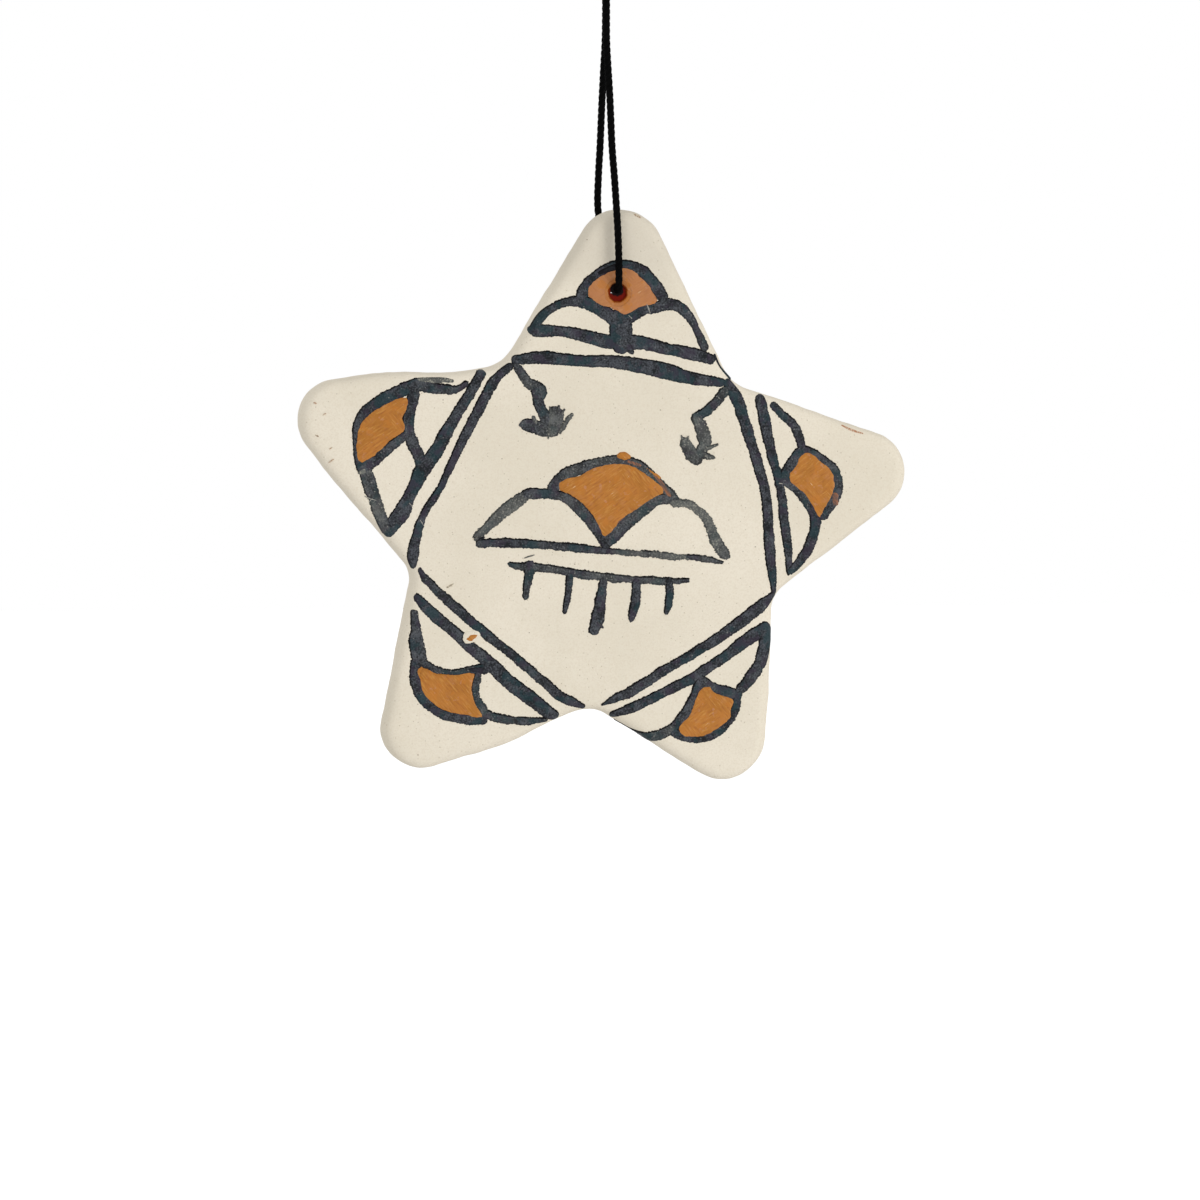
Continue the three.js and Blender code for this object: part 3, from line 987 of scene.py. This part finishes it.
MIDDLE_CLOUD = [
    (0.55, [(-15.1, -2.2, 1.1), (-13.1, -0.3, 1.4), (-10.3, 2.1, 1.7), (-8.8, 3.1, 1.5)]),
    (0.35, [(-9, 3.1, 1.5), (-7.6, 3.3, 1.4), (-5.6, 3.2, 1.2), (-3.3, 2.3, 1.5), (-1.2, 0.3, 1.5),
            (1.1, -3, 1.5)]),
    (0.4, [(-5.6, 3.8, 1.7), (-4.3, 5.4, 1.6), (-0.9, 6.7, 1.6), (2.5, 7.3, 1.4), (5.6, 6.5, 1.3),
            (8.6, 3.7, 1.2), (9.9, 2.3, 1.1)]),
    (0.35, [(1, -3.2, 1.5), (3.2, -0.8, 1.9), (4.8, 0.45, 1.7), (6.2, 1.5, 1.6), (8, 2.45, 1.4),
            (9.6, 2.3, 1.2)]),
    (0.7, [(9.5, 2, 1.1), (11.7, 1.7, 1.1), (13.5, 0.2, 1.3), (15.1, -2.9, 1.6), (16.2, -4.7, 1.3)]),
    (0.3, [(-14.8, -2.9, 1.1), (-10.7, -2.9, 1.2), (-3.1, -3.5, 1.1), (1.9, -4, 0.9)]),
    (0.6, [(1.8, -4, 0.9), (4, -4.2, 0.9), (7, -4.4, 0.9)]),
    (0.95, [(6.9, -4.4, 0.9), (9, -4.6, 0.9), (11.5, -4.8, 0.8)]),
    (0.45, [(11.3, -4.7, 0.6), (13.6, -5, 0.9), (15.8, -5.5, 0.5)]),
    (0.5, [(-15.4, -2.3, 0.5), (-14.6, -2.3, 0.6)]),
    (-0.15, [(0.7, -2.9, 0.8), (1.2, -3.4, 1.1)]),
    (-0.15, [(-14.9, -2.4, 0.4), (-14.2, -2.2, 0.3)]),
]
RAIN = [
    (0.4, [(-11, -5.5, 0.7), (-10, -5.8, 0.9), (-7.9, -5.9, 1.1), (-2.1, -6.8, 1.1), (3.9, -7.5, 1),
           (9.4, -7.8, 0.9), (11.5, -7.7, 0.6)]),
    (0.3, [(-8.4, -5.5, 1.4), (-8.6, -7.2, 1.3), (-9, -9.7, 0.8)]),
    (0.2, [(-3.4, -6.9, 1), (-3.6, -9.2, 1), (-4.1, -11.6, 0.6)]),
    (0.3, [(0.8, -7.5, 1), (0.5, -9.6, 1.4), (0.1, -12.4, 1.7), (-0.5, -14.1, 1.1)]),
    (0.5, [(0.2, -12.9, 0.6), (0.8, -13.6, 0.2)]),
    (0.2, [(4.9, -7.6, 1), (4.8, -10.3, 1.3), (4.3, -12.5, 0.9)]),
    (0.2, [(9.1, -7.7, 1.1), (9.1, -9.9, 1.1), (8.7, -11.8, 0.6)]),
]
LIGHTNING = [
    (0.5, [(-10.1, 19.2, 1.1), (-8.7, 17.3, 1.3), (-7.2, 16.1, 1.6), (-6.9, 15.2, 0.8)]),
    (0.3, [(-7.6, 16.3, 1.5), (-7.2, 14.2, 1.4), (-6.2, 12.3, 1.7), (-5.8, 11.3, 1.7)]),
    (0.35, [(-6.2, 11.1, 1.6), (-7.4, 11.5, 1.8), (-8.5, 11.8, 1.8), (-9.3, 11.9, 1.2)]),
    (0.7, [(-7.7, 12.1, 0.8), (-8, 12.8, 0.5)]),
    (0.5, [(-5.2, 13.5, 1.8), (-5.2, 12.6, 2.2), (-5.6, 11.2, 1.9), (-6, 10.8, 1.2)]),
    (0.7, [(-5.8, 13.3, 0.5), (-5.9, 14.1, 0.2)]),
    (0.7, [(-5, 13.5, 0.5), (-4.7, 14.3, 0.2)]),
    (0.7, [(-4.5, 13.2, 0.5), (-4, 13.8, 0.2)]),
    (0.6, [(-6, 10.9, 0.5), (-6.1, 10.1, 0.2)]),
    (0.8, [(-4.7, 10.8, 0.5), (-3.6, 12.5, 0.7), (-3.1, 13.1, 0.4)]),
    (0.4, [(16.2, 16.2, 1), (15.1, 14.7, 1.4), (13.2, 13.1, 1.2), (12.5, 13, 0.8)]),
    (0.5, [(12.3, 13, 0.8), (13.1, 11.3, 1.7), (13.5, 9.4, 1.7), (12.6, 7.8, 1.3)]),
    (0.6, [(11, 10, 0.8), (11.3, 9.2, 1.5), (12, 8, 1.8), (13, 7.4, 1)]),
    (0.7, [(10.8, 9.8, 0.4), (10.6, 10.5, 0.15)]),
    (0.7, [(11.4, 9.7, 0.4), (11.5, 10.4, 0.15)]),
    (0.6, [(13.7, 8.7, 0.8), (15.3, 9.3, 0.2)]),
    (0.6, [(13.3, 8, 1.2), (14.7, 7.6, 0.4)]),
]
# Black that a dry brush left above the left cloud and above the rain
SMEARS = [
    (1.0, [(-22.4, 17.5, 0.5), (-20.6, 17.4, 0.8), (-18.9, 17.4, 0.7), (-18, 17.3, 0.3)]),
    (1.0, [(-9.1, -4.8, 0.12), (-8.5, -4.6, 0.2), (-7.8, -4.4, 0.12)]),
]
# Where orange was dragged over the black of the middle and the right cloud
DRAGGED = [
    (0.5, [(1.8, -1.8, 0.7), (2.6, -0.7, 0.9), (3.2, 0, 0.6)]),
    (0.5, [(7.2, 5.5, 0.4), (8.2, 4.3, 0.8), (9.2, 2.8, 0.8)]),
    (0.7, [(3.9, 7.2, 0.5), (5.4, 6.7, 0.6)]),
    (0.6, [(30, 2.9, 0.9), (30, 1.8, 0.9)]),
]
# Deep red on both sides of the cord, above the hole: paint pooled against the cord, and painted shadow of the
# cord
POOLED_PAINT_AND_CORD_SHADOW = [
    (0.1, [(1.8, 30.7, 0.5), (1.95, 30.1, 0.5), (2.05, 29.4, 0.3)]),
    (0.1, [(3.2, 30.2, 0.12), (3.15, 29.6, 0.2), (3.3, 28.9, 0.15)]),
]
# Faint marks on the bare clay
STAINS = [
    (0.1, [(30.8, 11.6, 0.1), (31.6, 11.2, 0.22), (32.6, 10.8, 0.25), (33.6, 10.5, 0.1)]),
    (1.0, [(-18.8, -8.4, 0.2), (-18.1, -8, 0.28)]),
    (0.6, [(4.7, 38, 0.12), (5.1, 37.8, 0.2), (5.6, 37.5, 0.12)]),
    (0.3, [(-35.4, 14.7, 0.25), (-35.2, 14.6, 0.25)]),
    (0.8, [(-35.1, 10.6, 0.2), (-34.9, 10.5, 0.2)]),
    (0.4, [(-33.6, 7.2, 0.1), (-33.2, 7.5, 0.15), (-32.9, 7.7, 0.1)]),
    (0.4, [(-33.5, 8.9, 0.1), (-33.2, 9.1, 0.12)]),
    (0.4, [(-34.2, 13.2, 0.1), (-33.9, 13.4, 0.12)]),
]
# Short pale scratches in the black
SCRATCHES = [
    (0.6, [(-29.2, 3.1, 0.1), (-28.4, 2.7, 0.13), (-27.6, 2.5, 0.1)]),
    (0.6, [(-28.6, 2.3, 0.1), (-28.1, 2.8, 0.1)]),
    (0.6, [(-23.6, 2.2, 0.13), (-23.1, 1.7, 0.1)]),
    (0.6, [(-22.2, 0.1, 0.1), (-21.7, -0.7, 0.13)]),
    (0.6, [(6.2, 26.9, 0.1), (6.5, 26.2, 0.16), (6.7, 25.6, 0.1)]),
    (0.6, [(3.9, 25.5, 0.1), (4.4, 25, 0.12)]),
    (0.6, [(22.8, 4.4, 0.1), (23.4, 4.3, 0.12)]),
]

PAINT_THICKNESS = 0.07
PAINT_SUNK = 0.005  # how deep a coat's edge lies in the clay
COAT_STEP = 0.006  # how much thicker each stroke of a motif is than the one before
MOTIF_STEP = 0.002  # how much thicker each motif is than the one before
CROWN_POWER = 6  # the higher, the flatter a coat's top and the steeper its sides
RAGGEDNESS = 0.42
RAGGED_HALF = 0.5  # half the width from which on a stroke is fully ragged
RAGGED_GRAIN = (1.8, 0.22)  # slow waves and quick ones along a stroke's sides
BRISTLE_GRAIN = 0.25
FACING = (-0.7, -0.98)  # the clay's normal by Y where the raggedness starts and where it is full
UPPER_SIDE = (-0.5, 0.87, 0)  # the side along which a stroke's rim is painted darker as shade, in the drawing's plane
LEAST_CAP = 0.04  # of the width, at a stroke's very end
END_REACH = 0.35
THINNEST_STROKE = 0.1
STROKE_PITCH = 0.12
STROKE_CORNERS = 18
BACKWARDS = (0, 1, 0)
RAY_START = -20  # in front of the star
RAY_LENGTH = 50
OVER_EDGE = -1.5  # how far back the paint may run over the rounded edge


def at_depth(tree, flat_place, y):
    """A drawn place stood upright, y behind the middle of the slab."""
    upright = {"X": part_of(tree, flat_place, "X"), "Y": y * MM, "Z": part_of(tree, flat_place, "Y")}
    return place(tree, "ShaderNodeCombineXYZ", upright).outputs[0]


def cast_back(tree, clay, flat_place):
    """The node that finds where a ray straight back from in front of a drawn place lands."""
    before = at_depth(tree, flat_place, RAY_START)
    ray = {"Source Position": before, "Ray Direction": BACKWARDS, "Ray Length": RAY_LENGTH * MM}
    return place(tree, "GeometryNodeRaycast", {"Target Geometry": clay, **ray})


def named_vector(tree, name):
    return named(tree, name, "FLOAT_VECTOR")


def either(tree, kind, switch, if_true, if_false):
    sockets = {"Switch": switch, "True": if_true, "False": if_false}
    return place(tree, "GeometryNodeSwitch", sockets, input_type=kind).outputs[0]


def stroke_lines(tree, given):
    """The drawing's lines as curves, with what a stroke needs to know at each point."""
    line = place(tree, "GeometryNodeMeshToCurve", {"Mesh": given}).outputs[0]
    run = place(tree, "GeometryNodeSplineParameter").outputs["Length"]
    whole = place(tree, "GeometryNodeSplineLength").outputs["Length"]
    half = times(tree, named(tree, "width"), 0.5)
    to_end = maths(tree, "MINIMUM", run, less(tree, whole, run))
    short = maths(tree, "SUBTRACT", 1, maths(tree, "DIVIDE", to_end, half), clamp=True)
    cap = maths(tree, "SQRT", less(tree, 1, times(tree, short, short)))
    ahead = place(tree, "GeometryNodeInputTangent").outputs[0]
    aside = vector_maths(tree, "CROSS_PRODUCT", ahead, (0, 0, 1))
    return stored(
        tree,
        line,
        half=times(tree, half, maths(tree, "MAXIMUM", cap, LEAST_CAP)),
        end=short,
        ahead=ahead,
        aside=aside,
        upper=vector_maths(tree, "DOT_PRODUCT", aside, UPPER_SIDE),
        centre=place(tree, "GeometryNodeInputPosition").outputs[0],
    )


def stroke_section(tree):
    """A circle whose points know how far across the stroke and how high they are, from -1 to 1."""
    circle = {"Resolution": STROKE_CORNERS, "Radius": 1.0}
    section = place(tree, "GeometryNodeCurvePrimitiveCircle", circle).outputs[0]
    corner = place(tree, "GeometryNodeInputPosition").outputs[0]
    return stored(tree, section, across=part_of(tree, corner, "X"), rise=part_of(tree, corner, "Y"))


def ragged(tree, smooth_place, facing):
    """A place with the brush's uneven sides, the more so the drier it was, and its bristly ends."""
    across = named(tree, "across")
    seed = named(tree, "seed")
    slow = grain(tree, smooth_place, RAGGED_GRAIN[0], detail=2, offset=seed)
    quick = wobble(tree, smooth_place, RAGGED_GRAIN[1], detail=2, offset=seed)
    rough = less(tree, maths(tree, "MULTIPLY_ADD", quick, 0.8, slow), 0.5)
    dry = maths(tree, "ADD", named(tree, "wear"), 0.7)
    broad = maths(tree, "MINIMUM", maths(tree, "DIVIDE", named(tree, "half"), RAGGED_HALF * MM), 1)
    rough = times(tree, rough, RAGGEDNESS * MM, dry, 1.5, broad, facing)
    sideways = times(tree, rough, across, maths(tree, "ABSOLUTE", across))
    bristle = wobble(tree, smooth_place, BRISTLE_GRAIN, detail=2, offset=maths(tree, "ADD", seed, 5))
    forwards = times(tree, bristle, RAGGEDNESS * MM, facing, named(tree, "end"), 3)
    drawn = moved(tree, smooth_place, named_vector(tree, "aside"), sideways)
    return moved(tree, drawn, named_vector(tree, "ahead"), forwards)


def landing(tree, clay, drawn):
    """Where a drawn place lies on the clay. Past the star's edge it is the nearest place on the rounding."""
    ray = cast_back(tree, clay, drawn)
    beside = {0: clay, "Source Position": at_depth(tree, drawn, OVER_EDGE)}
    nearest = place(tree, "GeometryNodeProximity", beside, target_element="FACES").outputs["Position"]
    landed = either(tree, "VECTOR", ray.outputs["Is Hit"], ray.outputs["Hit Position"], nearest)
    # A metre to the right and up is no limit, so only the depth is held.
    return vector_maths(tree, "MINIMUM", landed, (1, OVER_EDGE * MM, 1))


def lifted(tree, clay, landed):
    """A landed place raised to the coat's top, or lowered into the clay for the section's underside."""
    normal = place(tree, "GeometryNodeInputNormal").outputs[0]
    sockets = {"Mesh": clay, "Value": normal, "Sample Position": landed}
    outwards = place(tree, "GeometryNodeSampleNearestSurface", sockets, data_type="FLOAT_VECTOR").outputs[0]
    from_middle = maths(tree, "POWER", maths(tree, "ABSOLUTE", named(tree, "across")), CROWN_POWER)
    from_start = maths(tree, "POWER", named(tree, "end"), CROWN_POWER)
    crown = times(tree, less(tree, 1, from_middle), less(tree, 1, from_start), named(tree, "coat"))
    under = maths(tree, "LESS_THAN", named(tree, "rise"), -0.01)
    lift = either(tree, "FLOAT", under, -PAINT_THICKNESS * MM, less(tree, crown, PAINT_SUNK * MM))
    return moved(tree, landed, outwards, lift)


def brush_tree():
    """Lays a drawing in the XY plane onto the star's front, each line as a stroke of paint."""
    tree, given = new_tree("brush_strokes")
    sockets = {"Curve": stroke_lines(tree, given), "Profile Curve": stroke_section(tree), "Fill Caps": True}
    stroke = place(tree, "GeometryNodeCurveToMesh", sockets).outputs[0]
    clay = place(tree, "GeometryNodeObjectInfo", {"Object": star}).outputs["Geometry"]
    edge = times(tree, named(tree, "across"), named(tree, "half"))
    smooth_place = moved(tree, named_vector(tree, "centre"), named_vector(tree, "aside"), edge)
    # The edges are ragged on the flat face and smooth where it rounds away.
    behind = part_of(tree, cast_back(tree, clay, smooth_place).outputs["Hit Normal"], "Y")
    facing = ramp(tree, behind, *FACING)
    landed = landing(tree, clay, ragged(tree, smooth_place, facing))
    laid = {"Geometry": stroke, "Position": lifted(tree, clay, landed)}
    close_tree(tree, place(tree, "GeometryNodeSetPosition", laid).outputs[0])
    return tree


def reaching_on(points):
    """The points with both ends moved on by part of the width there, as a stroke's round end falls short."""
    p = np.array(points, float)
    for end, before in ((0, 1), (-1, -2)):
        step = p[end, :2] - p[before, :2]
        p[end, :2] += step / np.linalg.norm(step) * p[end, 2] * END_REACH
    return p


def painted(name, strokes, seed, material):
    """One motif's strokes, each a little thicker than the one before, so that a later one covers it."""
    drawing = []
    values = {"width": [], "wear": [], "coat": [], "seed": []}
    for order, (wear, points) in enumerate(strokes):
        way = smooth_line(reaching_on(points), STROKE_PITCH)
        drawing.append(way * (1, 1, 0) + (*STAR_MIDDLE, 0))
        values["width"].append(np.maximum(way[:, 2], THINNEST_STROKE) * MM)
        coat = (PAINT_THICKNESS + COAT_STEP * order + MOTIF_STEP * seed) * MM
        for key, value in (("wear", wear), ("coat", coat), ("seed", seed)):
            values[key].append(np.full(len(way), value))
    return worked(line_object(name, drawing, **values), stroke_tree, material)


stroke_tree = brush_tree()
MOTIFS = {
    "border_lines": BORDER,
    "top_cloud_lines": TOP_CLOUD,
    "right_cloud_lines": RIGHT_CLOUD,
    "left_cloud_lines": LEFT_CLOUD,
    "lower_left_cloud_lines": LOWER_LEFT_CLOUD,
    "lower_right_cloud_lines": LOWER_RIGHT_CLOUD,
    "middle_cloud_lines": MIDDLE_CLOUD,
    "rain_lines": RAIN,
    "lightning_lines": LIGHTNING,
    "stray_smears": SMEARS,
}
lines = [painted(name, strokes, seed, BLACK_PAINT) for seed, (name, strokes) in enumerate(MOTIFS.items())]
dragged = painted("dragged_paint_marks", DRAGGED, len(MOTIFS), DRAGGED_PAINT)
pooled_and_shaded = painted("pooled_paint_marks", POOLED_PAINT_AND_CORD_SHADOW, len(MOTIFS), DEEP_RED_PAINT)
scratches = painted("scratches", SCRATCHES, len(MOTIFS) + 1, SCRATCH)
stains = painted("clay_stains", STAINS, len(MOTIFS) + 2, STAIN)


# Orange patches, and the pale ring round a dried drop: the points round each, to the right of and above the
# star's middle
PATCHES = {
    "top_cloud_fill": [(-0.8, 28), (-0.9, 28.9), (0.4, 30), (2, 30.9), (3.4, 31.2), (4.8, 30.7), (5.1, 30.1),
                       (6.2, 29.2), (7, 27.8), (7.3, 27.1), (5.6, 26.6), (3.5, 25.7), (1.9, 26.6),
                       (0.3, 26.9)],
    "right_cloud_fill": [(25.6, 7.5), (26.6, 8.1), (28.2, 6.9), (29.4, 5.8), (29.8, 4.4), (29.5, 3),
                         (28.4, 1), (28, 0.3), (27.2, 1.6), (26, 3.3), (24.6, 4.4), (24.4, 5.5),
                         (25.3, 6.6)],
    "left_cloud_fill": [(-23.8, 14.9), (-24.9, 14.9), (-26.9, 14), (-29, 12.5), (-29.8, 10.9), (-29.8, 7.5),
                        (-28.6, 7.7), (-27.1, 8.9), (-26, 10.2), (-24.4, 11.2), (-24.2, 11.9), (-24.7, 12.6),
                        (-23.9, 13.9)],
    "lower_left_cloud_fill": [(-22.4, -18.7), (-21.2, -18.7), (-20.3, -19.3), (-18.1, -19.5), (-15.7, -19.3),
                              (-15.9, -21), (-15.6, -22.7), (-14.6, -24.5), (-16.5, -24.2), (-19, -23.6),
                              (-21.1, -22.2), (-21.9, -21), (-22, -20)],
    "lower_right_cloud_fill": [(13.1, -21.5), (14.2, -21.1), (14.7, -21.9), (16.4, -22.5), (17.1, -22.9),
                               (16.7, -23.9), (16.8, -24.7), (15.6, -25.9), (13.6, -27), (11.7, -27.2),
                               (10.7, -26.9), (10.7, -25.6), (11.6, -25), (12.1, -23.9)],
    "middle_cloud_fill": [(-4.7, 4.5), (-3.5, 5), (-2.1, 5.1), (-0.8, 6.1), (1.2, 6.7), (3.9, 6.7),
                          (5.5, 5.8),
                          (8.2, 3.6), (6.5, 2.4), (4.7, 1.15), (3, 0.1), (2.1, -1.2), (0.9, -2), (0.3, -0.7),
                          (-0.2, 0.4), (-1.5, 2), (-3.1, 3.2), (-4.5, 3.9)],
}
SPILLS = {
    "middle_cloud_spill": [(2.4, 7.8), (2.8, 8.3), (3.3, 8.4), (4.2, 8), (4.3, 7.6), (3.6, 7.3), (2.8, 7.5)],
    "middle_cloud_drip": [(5.3, 7), (6.6, 6.3), (8.1, 5.1), (7.9, 4.9), (6.4, 6)],
    "dried_drop": [(-16.6, -14.9), (-16.2, -14.4), (-15.4, -14.1), (-14.9, -14.3), (-15.1, -14.8),
                   (-15.9, -15.2)],
    "lower_left_cloud_blob": [(-22.3, -19.1), (-21.9, -18.5), (-21.2, -18.5), (-20.8, -19.1), (-21, -19.8),
                              (-21.7, -20), (-22.2, -19.7)],
}
HALO = {
    "drop_halo": [(-17, -14.8), (-16.8, -14.2), (-16, -13.8), (-14.9, -13.8), (-14.6, -14.4), (-15.1, -15),
                  (-15.9, -15.5), (-16.7, -15.4)],
}

# How patches are laid: their corners' spacing, how thick they are and how deep they lie in the clay
PATCH_PITCH = 0.2
EDGE_PITCH = 0.7 * PATCH_PITCH
PATCH_THICKNESS = 0.13
SPILL_THICKNESS = 0.32
HALO_THICKNESS = 0.18
PATCH_SPREAD = 0.32  # under the black lines
PATCH_SHOULDER = 0.18  # how far in from its edge a patch nears its full thickness
PATCH_SUNK = 0.012
PATCH_UNDERSIDE = 0.06
WANDER = 0.1  # how far a patch's edge strays
WANDER_WAVES = 1.6  # to the millimetre
BRUSHED_SHARE = 0.2  # how much the brush marks add to the thickness or take

# The lining's closed section, by distance from the hole's middle and place front to back: the paint's face
# and then its back in the clay
LINING_FACE = [(1.75, -3.1), (1.62, -3.12), (1.45, -3.09), (1.25, -3.03), (1.12, -2.9), (1.05, -2.7),
               (1.0, -2.3), (0.99, -1.2), (1.01, 0.0), (1.15, 0.2)]
LINING_BACK = [(1.2, -2.3), (1.35, -2.75), (1.75, -2.9)]

# Painted shade: a dark sheet across the hole a little way in, round the cord, with a pinhole beside it
SHADE_SHEET_FRONT = -2.72
SHADE_SHEET_BACK = -2.3
SHADE_SHEET_OVERLAP = 0.12  # into the wall
SHADE_SHEET_CLEARANCE = 0.46  # from the cord's middle line
PINHOLE = (-0.74, 0.08)
PINHOLE_RADIUS = 0.14
PINHOLE_STEPS = 14


def on_clay(x, z, lift):
    """The place on the star's front at x and z, lifted off it."""
    origin = on_star(x, z, RAY_START)
    hit, normal, *_ = clay_tree.ray_cast(origin, Vector(BACKWARDS))
    if hit is None:
        hit, normal, *_ = clay_tree.find_nearest(origin)
    return hit + normal * lift * MM


def closed_faces(triangles, count):
    """The faces of a thin solid: its top, its bottom, whose corners come count later, and its rims."""
    faces = [tuple(face) for face in triangles]
    faces += [tuple(count + i for i in reversed(face)) for face in triangles]
    sides = {pair for face in triangles for pair in zip(face, [*face[1:], face[0]])}
    faces += [(b, a, count + a, count + b) for a, b in sides if (b, a) not in sides]
    return faces


def widened(edge, spread):
    """A closed line moved outwards."""
    ahead = np.roll(edge, -1, axis=0) - np.roll(edge, 1, axis=0)
    ahead /= np.linalg.norm(ahead, axis=1)[:, None]
    turned = np.column_stack([ahead[:, 1], -ahead[:, 0]])
    area = (edge[:, 0] * np.roll(edge[:, 1], -1) - np.roll(edge[:, 0], -1) * edge[:, 1]).sum()
    return edge + turned * spread * (1 if area > 0 else -1)


def strayed(x, z, seed):
    return WANDER * noise.noise(Vector((x * WANDER_WAVES, z * WANDER_WAVES, seed)))


def patch(name, outline, material, thickness, spread=0.0, cut_out=None):
    """A closed coat of paint inside an outline and spread beyond it, domed and brushed, less a cut-out."""
    edge = widened(smooth_line(outline, EDGE_PITCH, closed=True), spread)
    loops = [edge + np.array([(strayed(x, z, 11), strayed(x, z, 23)) for x, z in edge])]
    if cut_out is not None:
        loops.append(cut_out)
    flat, triangles = filled(loops, PATCH_PITCH)
    tops = []
    for (x, z), depth in zip(flat, distance_to(flat, loops[:1])):
        relief = BRUSHED_SHARE * noise.noise(Vector((x * 2.2 + z * 1.2, z * 0.9, 5)))
        coat = thickness * (1 - math.exp(-depth / PATCH_SHOULDER)) * (1 + relief)
        tops.append(on_clay(x, z, coat - PATCH_SUNK))
    bottoms = [on_clay(x, z, -PATCH_UNDERSIDE) for x, z in flat]
    return solid(name, tops + bottoms, closed_faces(triangles, len(flat)), material)


clay_tree = BVHTree.FromObject(star, bpy.context.evaluated_depsgraph_get())
lip_edge = ring(HOLE, HOLE_RADIUS + LIP_RADIUS)
fills = []
for name, outline in PATCHES.items():
    cut_out = lip_edge if name == "top_cloud_fill" else None
    fills.append(patch(name, outline, ORANGE_PAINT, PATCH_THICKNESS, PATCH_SPREAD, cut_out))
halos = [patch(name, outline, CLAY, HALO_THICKNESS) for name, outline in HALO.items()]
spills = [patch(name, outline, ORANGE_PAINT, SPILL_THICKNESS) for name, outline in SPILLS.items()]


def hole_lining():
    """The paint that ran over the lip and down the hole's wall, as a thin closed sleeve."""
    section = LINING_FACE + LINING_BACK
    corners = []
    faces = []
    for i, (radius, y) in enumerate(section):
        corners += stood_up(ring(HOLE, radius), y)
        faces += band(i * HOLE_STEPS, (i + 1) % len(section) * HOLE_STEPS, HOLE_STEPS)
    return solid("hole_lining", np.array(corners) * MM, faces, HOLE_PAINT)


def hole_clog():
    """A dark sheet across the hole a little way in, round the cord, but for a pinhole beside it: painted
    shade of the hole.
    """
    cord_place = HOLE + Vector((0, HOLE_RADIUS - CORD_DIAMETER / 2 - REST_GAP))
    loops = [
        ring(HOLE, HOLE_RADIUS + SHADE_SHEET_OVERLAP),
        ring(cord_place, SHADE_SHEET_CLEARANCE),
        ring(HOLE + Vector(PINHOLE), PINHOLE_RADIUS, PINHOLE_STEPS),
    ]
    flat, triangles = filled(loops, PATCH_PITCH)
    corners = stood_up(flat, SHADE_SHEET_FRONT) + stood_up(flat, SHADE_SHEET_BACK)
    faces = closed_faces(triangles, len(flat))
    return solid("hole_clog", np.array(corners) * MM, faces, HOLE_PAINT, smooth=False)


lining = hole_lining()
shade_sheet = hole_clog()


# Setting: a white floor, a soft key lamp from the right and in front, a weak fill and an even sky

FLOOR_DROP = 300
FLOOR_SIZE = 8000
FLOOR_TONE = (0.8, 0.8, 0.8, 1)
FLOOR_GLOW = 0.6  # only where it is seen itself
SKY_LIGHT = 0.71
WHITE = (1, 1, 1, 1)

# Two soft lamps: where each stands from the star's middle, how wide it is and its power
LAMPS = {"key": ((500, -500, -60), 340, 1.42), "fill": ((-400, -600, 150), 380, 0.4)}


def seen_ways(tree):
    """1 for what is seen itself, in a gloss or through glass, and 0 for the light that falls on things."""
    path = place(tree, "ShaderNodeLightPath")
    seen = maths(tree, "MAXIMUM", path.outputs["Is Camera Ray"], path.outputs["Is Glossy Ray"])
    return maths(tree, "MAXIMUM", seen, path.outputs["Is Transmission Ray"])


def white_floor():
    sides = ((-1, -1), (1, -1), (1, 1), (-1, 1))
    corners = [(x * FLOOR_SIZE / 2, y * FLOOR_SIZE / 2, -FLOOR_DROP) for x, y in sides]
    floor = mesh_object("floor", np.array(corners) * MM, [(0, 1, 2, 3)])
    material, tree, shader = new_material("white_floor")
    surface(tree, shader, FLOOR_TONE, 1.0, 0.0)
    shader.inputs["Emission Color"].default_value = WHITE
    join(tree, shader.inputs["Emission Strength"], times(tree, seen_ways(tree), FLOOR_GLOW))
    floor.data.materials.append(material)


def sky():
    world = bpy.data.worlds.new("studio")
    world.use_nodes = True
    bpy.context.scene.world = world
    tree = world.node_tree
    background = tree.nodes["Background"]
    background.inputs["Color"].default_value = WHITE
    strength = maths(tree, "MULTIPLY_ADD", seen_ways(tree), 1 - SKY_LIGHT, SKY_LIGHT)
    join(tree, background.inputs["Strength"], strength)


def soft_lamp(name, stand, size, power):
    lamp = bpy.data.lights.new(name, "AREA")
    lamp.shape = "DISK"
    lamp.size = size * MM
    lamp.energy = power
    thing = bpy.data.objects.new(name, lamp)
    aim = on_star(0, 0)
    thing.location = aim + Vector(stand) * MM
    thing.rotation_mode = "QUATERNION"
    thing.rotation_quaternion = (aim - thing.location).to_track_quat("-Z", "Y")
    bpy.context.scene.collection.objects.link(thing)


white_floor()
sky()
for name, (stand, size, power) in LAMPS.items():
    soft_lamp(name, stand, size, power)
bpy.context.scene.view_settings.view_transform = "Standard"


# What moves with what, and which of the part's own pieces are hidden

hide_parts("star_body")
for thing in [star, *lines, scratches, stains, dragged, pooled_and_shaded, *halos, *fills, *spills, lining, shade_sheet]:
    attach(thing, "star")

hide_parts("cord_knot")
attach(knot, "knot")
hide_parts("hanging_cord")
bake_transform(loop)
